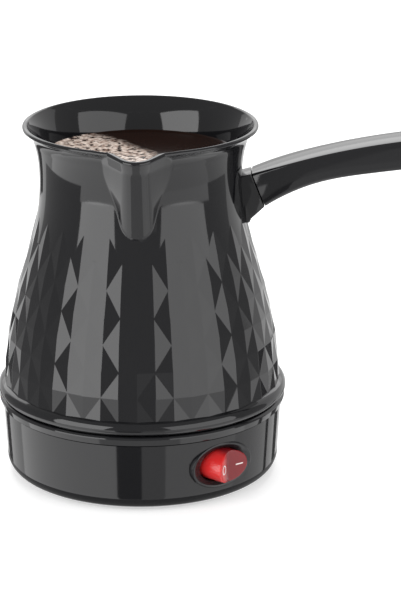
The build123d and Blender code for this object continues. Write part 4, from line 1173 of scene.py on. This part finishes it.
@dataclass
class RockerSwitch:
    """Oval rocker switch: dished black bezel and a clear red rocker with two white marks."""

    bezel: Pair = (13.8, 9.0)
    # inset and drop of each ring, from the side to the flat face
    bezel_round: tuple = ((0.0, 0.5), (0.1, 0.2), (0.4, 0.0), (0.9, 0.0), (1.2, 0.12))
    face: float = 54.9
    seat: float = 52.7
    dish: float = 1.0
    opening: Pair = (9.9, 6.65)
    # way outwards and rise of each ring, from the dish to the opening's wall
    opening_round: tuple = ((0.35, 0.08), (0.0, -0.15))
    body: Pair = (11.2, 7.9)
    chamber: Pair = (7.5, 5.25)
    last_ring: Pair = (0.01, 0.01)
    back: float = 35.7
    back_wall: float = 1.6
    well: float = 46.4
    rocker: Pair = (8.4, 6.3)
    crest: float = 5.2
    slope: float = 16.0
    skirt: float = 3.2
    shoulder: float = 2.0
    # inset and drop of each ring, from the rocker's side to its top
    edge_round: tuple = ((0.0, 0.55), (0.04, 0.3), (0.14, 0.12), (0.3, 0.03), (0.5, 0.0))
    hinge: float = 52.3
    tilt: float = 16.0
    # middle, half width and half height
    mark_off: Sizes = (-4.6, 1.5, 1.9)
    mark_on: Sizes = (4.6, 1.6, 0.24)
    mark_line: float = 0.42
    mark_lift: float = 0.04
    mark_sink: float = -0.05
    skirt_share: float = 0.82
    cap_shares: tuple = (0.85, 0.7, 0.55, 0.4, 0.25, 0.12, 0.0)
    bar_middle: float = 0.02
    bezel_crease: float = 28.0

    def build_bezel(self, black: Material) -> None:
        """Builds and dresses the bezel and the body behind it.

        Args:
            black: Its finish.
        """
        (a, b), (c, d), inside = self.bezel, self.opening, self.back + self.back_wall
        bottom = self.face - self.dish
        rings = [(*self.body, self.back), (*self.body, self.seat), (a, b, self.seat)]
        rings += [(a - inset, b - inset, self.face - drop) for inset, drop in self.bezel_round]
        rings += [(c + out, d + out, bottom + rise) for out, rise in self.opening_round]
        rings += [(c, d, self.well), (*self.chamber, self.well), (*self.chamber, inside),
                  (*self.last_ring, inside)]
        piece = oval_stack("switch_bezel", rings)
        shade(piece, Shading.CREASED, self.bezel_crease)
        dress(piece, black, "fitting_black", "switch_housing")

    def tilted(self, across: float, out: float, up: float) -> Place:
        """Returns a place of the rocker, given from its hinge before its right half is pressed in."""
        c, s = math.cos(math.radians(self.tilt)), math.sin(math.radians(self.tilt))
        return switch_place(across * c + out * s, self.hinge + out * c - across * s, up)

    def on_top(self, across: float, up: float, lift: float) -> Place:
        """Returns a place above the rocker's top, which rises from its middle to both ends."""
        out = self.crest + abs(across) * math.tan(math.radians(self.slope)) + lift
        return self.tilted(across, out, up)

    def oval_on_top(self, half: Pair, lift: float, middle: float = 0.0,
                    corners: int = ROCKER_CORNERS) -> list[Place]:
        """Returns a closed oval ring that follows the rocker's top, with these half sizes."""
        return [self.on_top(middle + half[0] * math.cos(t), half[1] * math.sin(t), lift)
                for t in np.linspace(0, FULL_TURN, corners + 1)]

    def build_rocker(self, red: Material) -> None:
        """Builds and dresses the rocker.

        Args:
            red: Its finish.
        """
        a, b = self.rocker
        turns = np.linspace(0, FULL_TURN, ROCKER_CORNERS + 1)
        sides = ((self.skirt_share, -self.skirt), (1.0, -self.skirt), (1.0, 0.0), (1.0, self.shoulder))
        rings = [[self.tilted(a * share * math.cos(t), out, b * share * math.sin(t)) for t in turns]
                 for share, out in sides]
        rings += [self.oval_on_top((a - inset, b - inset), -drop) for inset, drop in self.edge_round]
        inset = self.edge_round[-1][0]
        rings += [self.oval_on_top(((a - inset) * share, (b - inset) * share), 0.0)
                  for share in self.cap_shares]
        piece = wrap_grid("rocker", rings)
        close_ends(piece)
        shade(piece, Shading.CREASED)
        dress(piece, red, "rocker_red", "switch_rocker", body=Body.ROCKER)

    def build_marks(self, white: Material) -> None:
        """Builds and dresses the O and the I, a hair above the rocker's top.

        Args:
            white: Their finish.
        """
        low, high = self.mark_sink, self.mark_lift
        middle, wide, tall = self.mark_off
        tube = ((0.0, low), (0.0, high), (self.mark_line, high), (self.mark_line, low), (0.0, low))
        ring = [self.oval_on_top((wide - inset, tall - inset), lift, middle, MARK_CORNERS)
                for inset, lift in tube]
        middle, wide, tall = self.mark_on
        corners = ((-1, -1), (1, -1), (1, 1), (-1, 1), (-1, -1))
        bar = [[self.on_top(middle + side * wide * share, end * tall * share, lift) for side, end in corners]
               for share, lift in ((1.0, low), (1.0, high), (self.bar_middle, high))]
        for name, net in (("mark_off", ring), ("mark_on", bar)):
            piece = wrap_grid(name, net)
            shade(piece, Shading.FLAT)
            dress(piece, white, "plunger_white", body=Body.ROCKER)

    def build(self, black: Material, red: Material, white: Material) -> None:
        """Builds and dresses the whole switch.

        Args:
            black: Finish of the bezel.
            red: Finish of the rocker.
            white: Finish of the marks.
        """
        self.build_bezel(black)
        self.build_rocker(red)
        self.build_marks(white)


# ---- handle -------------------------------------------------------------------------------------


@dataclass
class Grip:
    """Long curved grip: nearly flat sides and top with small rounds, wider past the seam."""

    top: tuple = (SEAM_TOP, (61.3, 127.6), (87.6, 133.5), (134.0, 138.0), (179.0, 134.4))
    bottom: tuple = (SEAM_BOTTOM, (57.2, 114.2), (68.0, 118.5), (90.0, 122.6), (134.0, 126.7), (179.0, 123.4))
    full_half: float = 8.5
    least_half: float = 0.05
    full_at: float = 62.0
    widening: float = 0.099
    end: float = 179.0
    end_corner: float = 6.8
    top_round: float = 1.0
    bottom_round: float = 2.2
    seam_gap: float = 0.35
    top_crown: float = 0.2
    side_crown: float = 0.3
    cover_ends: Pair = (84.0, 171.2)
    cover_half: float = 5.9
    cover_room: Pair = (-3.0, 1.85)
    crease: float = 28.0

    def __post_init__(self) -> None:
        """Works out the long curves."""
        self.upper, self.lower = ThroughPoints(self.top), ThroughPoints(self.bottom)

    def half_width(self, along: float) -> float:
        """Gives half of the grip's width.

        Args:
            along: Place along the grip.

        Returns:
            Half of its width there.
        """
        if along < self.full_at:
            start = SEAM_TOP[0] - 1
            share = (along - start) / (self.full_at - start)
            second = SEAM_HALF_WIDTH + self.widening * (self.full_at - start)
            return ((1 - share) ** 3 * SEAM_HALF_WIDTH + 3 * share * (1 - share) ** 2 * second
                    + (3 * share**2 * (1 - share) + share**3) * self.full_half)
        past = max(0.0, along - (self.end - self.end_corner))
        return self.full_half - self.end_corner + math.sqrt(max(self.end_corner**2 - past**2, 0.0))

    def section(self, share: float) -> list[Place]:
        """Makes one rounded cross-section.

        Args:
            share: Place along the grip, 0 at the seam and 1 at the end.

        Returns:
            Closed ring of places.
        """
        high_x = SEAM_TOP[0] + (self.end - SEAM_TOP[0]) * share
        low_x = SEAM_BOTTOM[0] + (self.end - SEAM_BOTTOM[0]) * share
        high, low = self.upper.height_at(high_x), self.lower.height_at(low_x)
        tall = math.hypot(high - low, high_x - low_x)
        arcs = []
        for side, upper, turns in ((1, True, (0, 90)), (-1, True, (90, 0)),
                                   (-1, False, (0, 90)), (1, False, (90, 0))):
            size = self.top_round if upper else self.bottom_round
            arc = []
            for turn in np.radians(np.linspace(*turns, 7)).tolist():
                drop = size * (1 - math.sin(turn)) / tall
                rise = 1 - drop if upper else drop
                x, z = low_x + (high_x - low_x) * rise, low + (high - low) * rise
                half = max(self.half_width(x) - size * (1 - math.cos(turn)), self.least_half)
                arc.append((x, side * half, z))
            arcs.append(arc)
        width = self.half_width(high_x) / self.full_half
        lift, out = self.top_crown * width / tall, self.side_crown * width
        crowns = (((high_x - low_x) * lift, 0.0, (high - low) * lift), (0.0, -out, 0.0), (0.0, 0.0, 0.0),
                  (0.0, out, 0.0))
        ring = []
        for arc, following, crown in zip(arcs, arcs[1:] + arcs[:1], crowns):
            ring += arc + self.bulge(arc[-1], following[0], crown)
        return ring + ring[:1]

    def bulge(self, start: Place, end: Place, crown: Place) -> list[Place]:
        """Returns places between two corners, pushed outwards to a soft crown."""
        return [tuple(a + (b - a) * t + c * 4 * t * (1 - t) for a, b, c in zip(start, end, crown))
                for t in np.linspace(0, 1, 10)[1:-1].tolist()]

    def cover_room_plug(self) -> Piece:
        """Makes the room of the strip that closes the underside.

        Returns:
            The plug to cut out.
        """
        half, (below, above) = self.cover_half, self.cover_room
        corners = ((-half, below), (half, below), (half, above), (-half, above), (-half, below))
        places = np.linspace(*self.cover_ends, 40)
        plug = wrap_grid("plug", [[(x, y, self.lower.height_at(x) + z) for y, z in corners] for x in places])
        close_ends(plug)
        return plug

    def build(self, gloss: Material) -> None:
        """Builds and dresses the grip.

        Args:
            gloss: Its finish.
        """
        length = self.end - SEAM_TOP[0]
        corner = self.end_corner / length
        shares = list(np.linspace(self.seam_gap / length, 1 - corner, 110))
        shares += [1 - corner + corner * math.sin(t) for t in np.linspace(0, QUARTER_TURN, 14)[1:]]
        piece = wrap_grid("grip", [self.section(share) for share in shares])
        close_ends(piece)
        combine(piece, Joining.CUT, self.cover_room_plug())
        shade(piece, Shading.CREASED, self.crease)
        dress(piece, gloss, "grip_black", "handle_grip")


# ---- the set ------------------------------------------------------------------------------------


@dataclass(frozen=True)
class Softbox:
    """Rectangular light that looks at the pot; angles as for a screen, size in metres, power in watts."""

    name: str
    turn: float
    tilt: float
    size: Pair
    power: float
    polished: bool = True


@dataclass(frozen=True)
class Screen:
    """Sheet that only polished parts see, from one angle right of the camera and above level to another."""

    name: str
    turns: Pair
    tilts: Pair
    glow: float


SOFTBOXES = (
    Softbox("left_softbox", -49.5, 13.0, (1.2, 1.53), 18.8),
    Softbox("right_softbox", 48.0, 13.0, (1.6, 1.53), 14.2),
    Softbox("top_softbox", 180.0, 60.0, (1.2, 0.8), 14.0, polished=False),
)

SCREENS = (
    # grey flags round the pot and the light behind it
    Screen("left_flag", (-136.0, -22.0), (-14.0, 38.0), 0.42),
    Screen("front_flag", (-22.0, 1.0), (-22.0, 38.0), 0.42),
    Screen("front_flag_right", (1.0, 16.0), (-2.0, 38.0), 0.42),
    Screen("front_light", (1.0, 16.0), (-22.0, -2.0), 0.62),
    Screen("right_flag", (16.0, 112.0), (-14.0, 38.0), 0.42),
    Screen("ceiling", (-180.0, 180.0), (38.0, 89.9), 0.42),
    Screen("back_glow", (150.0, 215.0), (12.0, 17.0), 1.5),
    Screen("back_light", (150.0, 215.0), (17.0, 38.0), 2.2),
    # the table far from the pot
    Screen("front_dark", (-22.0, -1.0), (-42.0, -22.0), 0.15),
    Screen("front_table", (-1.0, 19.0), (-42.0, -22.0), 0.75),
    Screen("right_streak", (126.0, 131.0), (-42.0, -14.0), 0.1),
    Screen("right_corner", (145.0, 156.0), (-42.0, -14.0), 0.1),
    Screen("left_corner", (-160.0, -147.0), (-42.0, -14.0), 0.1),
    Screen("left_table_far", (-72.0, -22.0), (-22.0, -14.0), 1.8),
    Screen("left_flag_low", (-136.0, -72.0), (-22.0, -14.0), 0.42),
    Screen("left_table", (-122.0, -22.0), (-42.0, -22.0), 1.8),
    Screen("right_table_far", (16.0, 82.0), (-22.0, -14.0), 1.45),
    Screen("right_flag_low", (82.0, 112.0), (-22.0, -14.0), 0.42),
    Screen("right_table", (19.0, 84.0), (-42.0, -22.0), 1.3),
    # the table close to the pot
    Screen("near_table_left", (-115.0, -46.0), (-78.0, -42.0), 1.7),
    Screen("near_table", (-46.0, 40.0), (-78.0, -42.0), 0.9),
    Screen("near_table_right", (40.0, 115.0), (-78.0, -42.0), 1.45),
    Screen("pot_shadow", (-180.0, 180.0), (-89.9, -78.0), 0.15),
)


@dataclass
class Studio:
    """Camera, lights, floor and the coffee that dresses the pot."""

    target: Place = (0.0, 0.0, 66.4)
    distance: float = 1064.0
    turn: float = 2.2
    tilt: float = 18.25
    lens: float = 161.8
    sensor: float = 36.0
    clip: Pair = (0.05, 50.0)
    aim_right: float = 1.247
    aim_up: float = 0.095
    softbox_distance: float = 1500.0
    screen_distance: float = 3000.0
    shadow_radii: Pair = (50.0, 59.5)
    shadow_lift: float = 0.3
    shadow_glow: float = 0.3
    world_colour: float = 0.8
    world_light: float = 0.68
    paper_size: float = 12.0
    paper_colour: float = 0.85
    paper_glow: float = 0.45
    coffee_level: float = 127.5
    coffee_overlap: float = 0.1
    coffee_rim: Pair = (0.03, 0.5)
    coffee_rows: int = 40
    coffee_spread: float = 0.8

    def from_pot(self, turn: float, tilt: float, distance: float) -> Vector:
        """Places a point that is given as seen from the pot.

        Args:
            turn: Angle to the right of the camera, in degrees.
            tilt: Angle above level.
            distance: Distance from the pot's middle.

        Returns:
            Place in metres.
        """
        a, e = math.radians(turn + self.turn), math.radians(tilt)
        way = Vector((math.cos(e) * math.sin(a), -math.cos(e) * math.cos(a), math.sin(e)))
        return Vector(self.target) * MM + way * distance * MM

    def build_camera(self) -> None:
        """Places the camera."""
        data = bpy.data.cameras.new("camera")
        data.sensor_fit = "VERTICAL"
        data.sensor_height = self.sensor
        data.lens = self.lens
        data.clip_start, data.clip_end = self.clip
        camera = bpy.data.objects.new("camera", data)
        bpy.context.scene.collection.objects.link(camera)
        camera.location = self.from_pot(0.0, self.tilt, self.distance)
        ahead = (Vector(self.target) * MM - camera.location).normalized()
        right = ahead.cross(Vector((0, 0, 1))).normalized()
        up = right.cross(ahead)
        ahead += right * math.tan(math.radians(self.aim_right)) + up * math.tan(math.radians(self.aim_up))
        camera.rotation_euler = ahead.to_track_quat("-Z", "Y").to_euler()
        bpy.context.scene.camera = camera

    def build_softbox(self, box: Softbox) -> None:
        """Adds a softbox.

        Args:
            box: What it is.
        """
        data = bpy.data.lights.new(box.name, "AREA")
        data.shape = "RECTANGLE"
        data.size, data.size_y = box.size
        data.energy = box.power
        light = bpy.data.objects.new(box.name, data)
        bpy.context.scene.collection.objects.link(light)
        light.location = self.from_pot(box.turn, box.tilt, self.softbox_distance)
        way = Vector(self.target) * MM - light.location
        light.rotation_euler = way.to_track_quat("-Z", "Y").to_euler()
        light.visible_glossy = box.polished

    def hang_sheet(self, name: str, net: list, glow: float) -> None:
        """Adds a glowing sheet that only polished parts see.

        Args:
            name: Name of the sheet.
            net: Rows of places.
            glow: Its brightness, where 1 is white.
        """
        sheet = wrap_grid(name, net)
        material = bare_material(name)
        material.cycles.emission_sampling = "NONE"
        light = add_node(material.node_tree, "Emission", {"Color": WHITE, "Strength": glow})
        add_node(material.node_tree, "OutputMaterial", {"Surface": light.outputs[0]})
        sheet.data.materials.append(material)
        for rays in ("camera", "diffuse", "shadow", "transmission"):
            setattr(sheet, "visible_" + rays, False)
        sheet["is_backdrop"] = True

    def build_screens(self) -> None:
        """Hangs what the pot's polished skin shows, and lays a ring of painted shadow round its foot, which
        only polished parts see.
        """
        for screen in SCREENS:
            turns, tilts = np.linspace(*screen.turns, 24).tolist(), np.linspace(*screen.tilts, 8).tolist()
            net = [[list(self.from_pot(turn, tilt, self.screen_distance) / MM) for turn in turns]
                   for tilt in tilts]
            self.hang_sheet(screen.name, net, screen.glow)
        # painted contact shadow: a dark ring round the foot that only polished parts mirror
        turns = np.linspace(0, FULL_TURN, 97).tolist()
        ring = [[(r * math.cos(t), r * math.sin(t), self.shadow_lift) for t in turns]
                for r in self.shadow_radii]
        self.hang_sheet("foot_shadow", ring, self.shadow_glow)

    def build_world(self) -> None:
        """Makes the world white to the camera, in mirrors and through glass, and plain light elsewhere."""
        world = bpy.data.worlds.new("studio")
        bpy.context.scene.world = world
        world.use_nodes = True
        tree = world.node_tree
        tree.nodes.clear()
        path = add_node(tree, "LightPath").outputs
        shown = maths(tree, "ADD", path["Is Camera Ray"], path["Is Glossy Ray"], use_clamp=True)
        shown = maths(tree, "ADD", shown, path["Is Transmission Ray"], use_clamp=True)
        grey = (*[self.world_colour] * 3, 1.0)
        light = add_node(tree, "Background", {"Color": grey, "Strength": self.world_light})
        white = add_node(tree, "Background", {"Color": WHITE, "Strength": 1.0})
        mix = add_node(tree, "MixShader", {0: shown, 1: light.outputs[0], 2: white.outputs[0]})
        add_node(tree, "OutputWorld", {"Surface": mix.outputs[0]})

    def build_floor(self) -> None:
        """Lays the pale floor that takes the pot's shadow, brighter to the camera than to the pot."""
        clear_selection()
        bpy.ops.mesh.primitive_plane_add(size=self.paper_size)
        floor = new_piece("floor")
        material = bare_material("white_paper")
        tree = material.node_tree
        grey = (*[self.paper_colour] * 3, 1.0)
        paper = add_node(tree, "BsdfDiffuse", {"Color": grey}).outputs[0]
        glow = add_node(tree, "Emission", {"Color": WHITE, "Strength": self.paper_glow})
        lit = add_node(tree, "AddShader", {0: paper, 1: glow.outputs[0]})
        seen = add_node(tree, "LightPath").outputs["Is Camera Ray"]
        mix = add_node(tree, "MixShader", {0: seen, 1: paper, 2: lit.outputs[0]})
        add_node(tree, "OutputMaterial", {"Surface": mix.outputs[0]})
        floor.data.materials.append(material)
        floor.visible_glossy = False
        floor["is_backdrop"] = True

    def build_coffee(self, body: PotBody) -> None:
        """Fills the pot with coffee, up to the walls of neck and spout.

        Args:
            body: Pot that holds it.
        """
        turn = np.linspace(-math.pi, math.pi, 361)
        edge = body.inner_radius(turn, self.coffee_level) + self.coffee_overlap
        width, rise = self.coffee_rim
        net = []
        for share in np.linspace(0, 1, self.coffee_rows) ** self.coffee_spread:
            level = self.coffee_level + rise * max(0.0, share - (1 - width)) / width
            net.append(np.stack([edge * share * np.sin(turn), -edge * share * np.cos(turn),
                                 np.full_like(turn, level)], axis=1))
        surface = wrap_grid("coffee", net)
        shade(surface, Shading.SMOOTH)
        surface.data.materials.append(COFFEE.build())
        surface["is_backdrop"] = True

    def build(self, body: PotBody) -> None:
        """Builds the whole set.

        Args:
            body: Pot that holds the coffee.
        """
        self.build_camera()
        for box in SOFTBOXES:
            self.build_softbox(box)
        self.build_world()
        self.build_screens()
        self.build_floor()
        self.build_coffee(body)
        LOG.info("set: %d softboxes, %d screens, floor and coffee", len(SOFTBOXES), len(SCREENS))


def dress_cad_nodes(frame: dict[str, Any]) -> None:
    """Gives every CAD node the finish of its record slot.
    """
    made: dict[str, Material] = {}
    for part in frame["record"]["subparts"]:
        slot = part["material_slot"]
        if slot not in made:
            made[slot] = CAD_FINISHES[slot].build()
        node = frame["nodes"][part["node"]]
        node.data.materials.clear()
        node.data.materials.append(made[slot])


def plain_bounds() -> Any:
    """Returns the object's bounds as plain lists."""
    return json.loads(json.dumps(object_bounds(), default=list))


def main() -> None:
    """Builds the pot round its CAD frame, then the set."""
    logging.basicConfig(level=logging.INFO, format="%(message)s")
    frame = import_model()
    sizes = {"loaded": plain_bounds()}
    dress_cad_nodes(frame)
    gloss, base_gloss, fitting = BLACK_BODY.build(), BLACK_BASE.build(), BLACK_FITTING.build()
    body = PotBody()
    body.build(gloss)
    Base().build(base_gloss)
    RockerSwitch().build(fitting, RED_ROCKER.build(), WHITE_PRINT.build())
    Grip().build(base_gloss)
    Studio().build(body)
    bpy.context.scene.view_settings.view_transform = "Standard"
    sizes["dressed"] = plain_bounds()


if __name__ == "__main__":
    main()
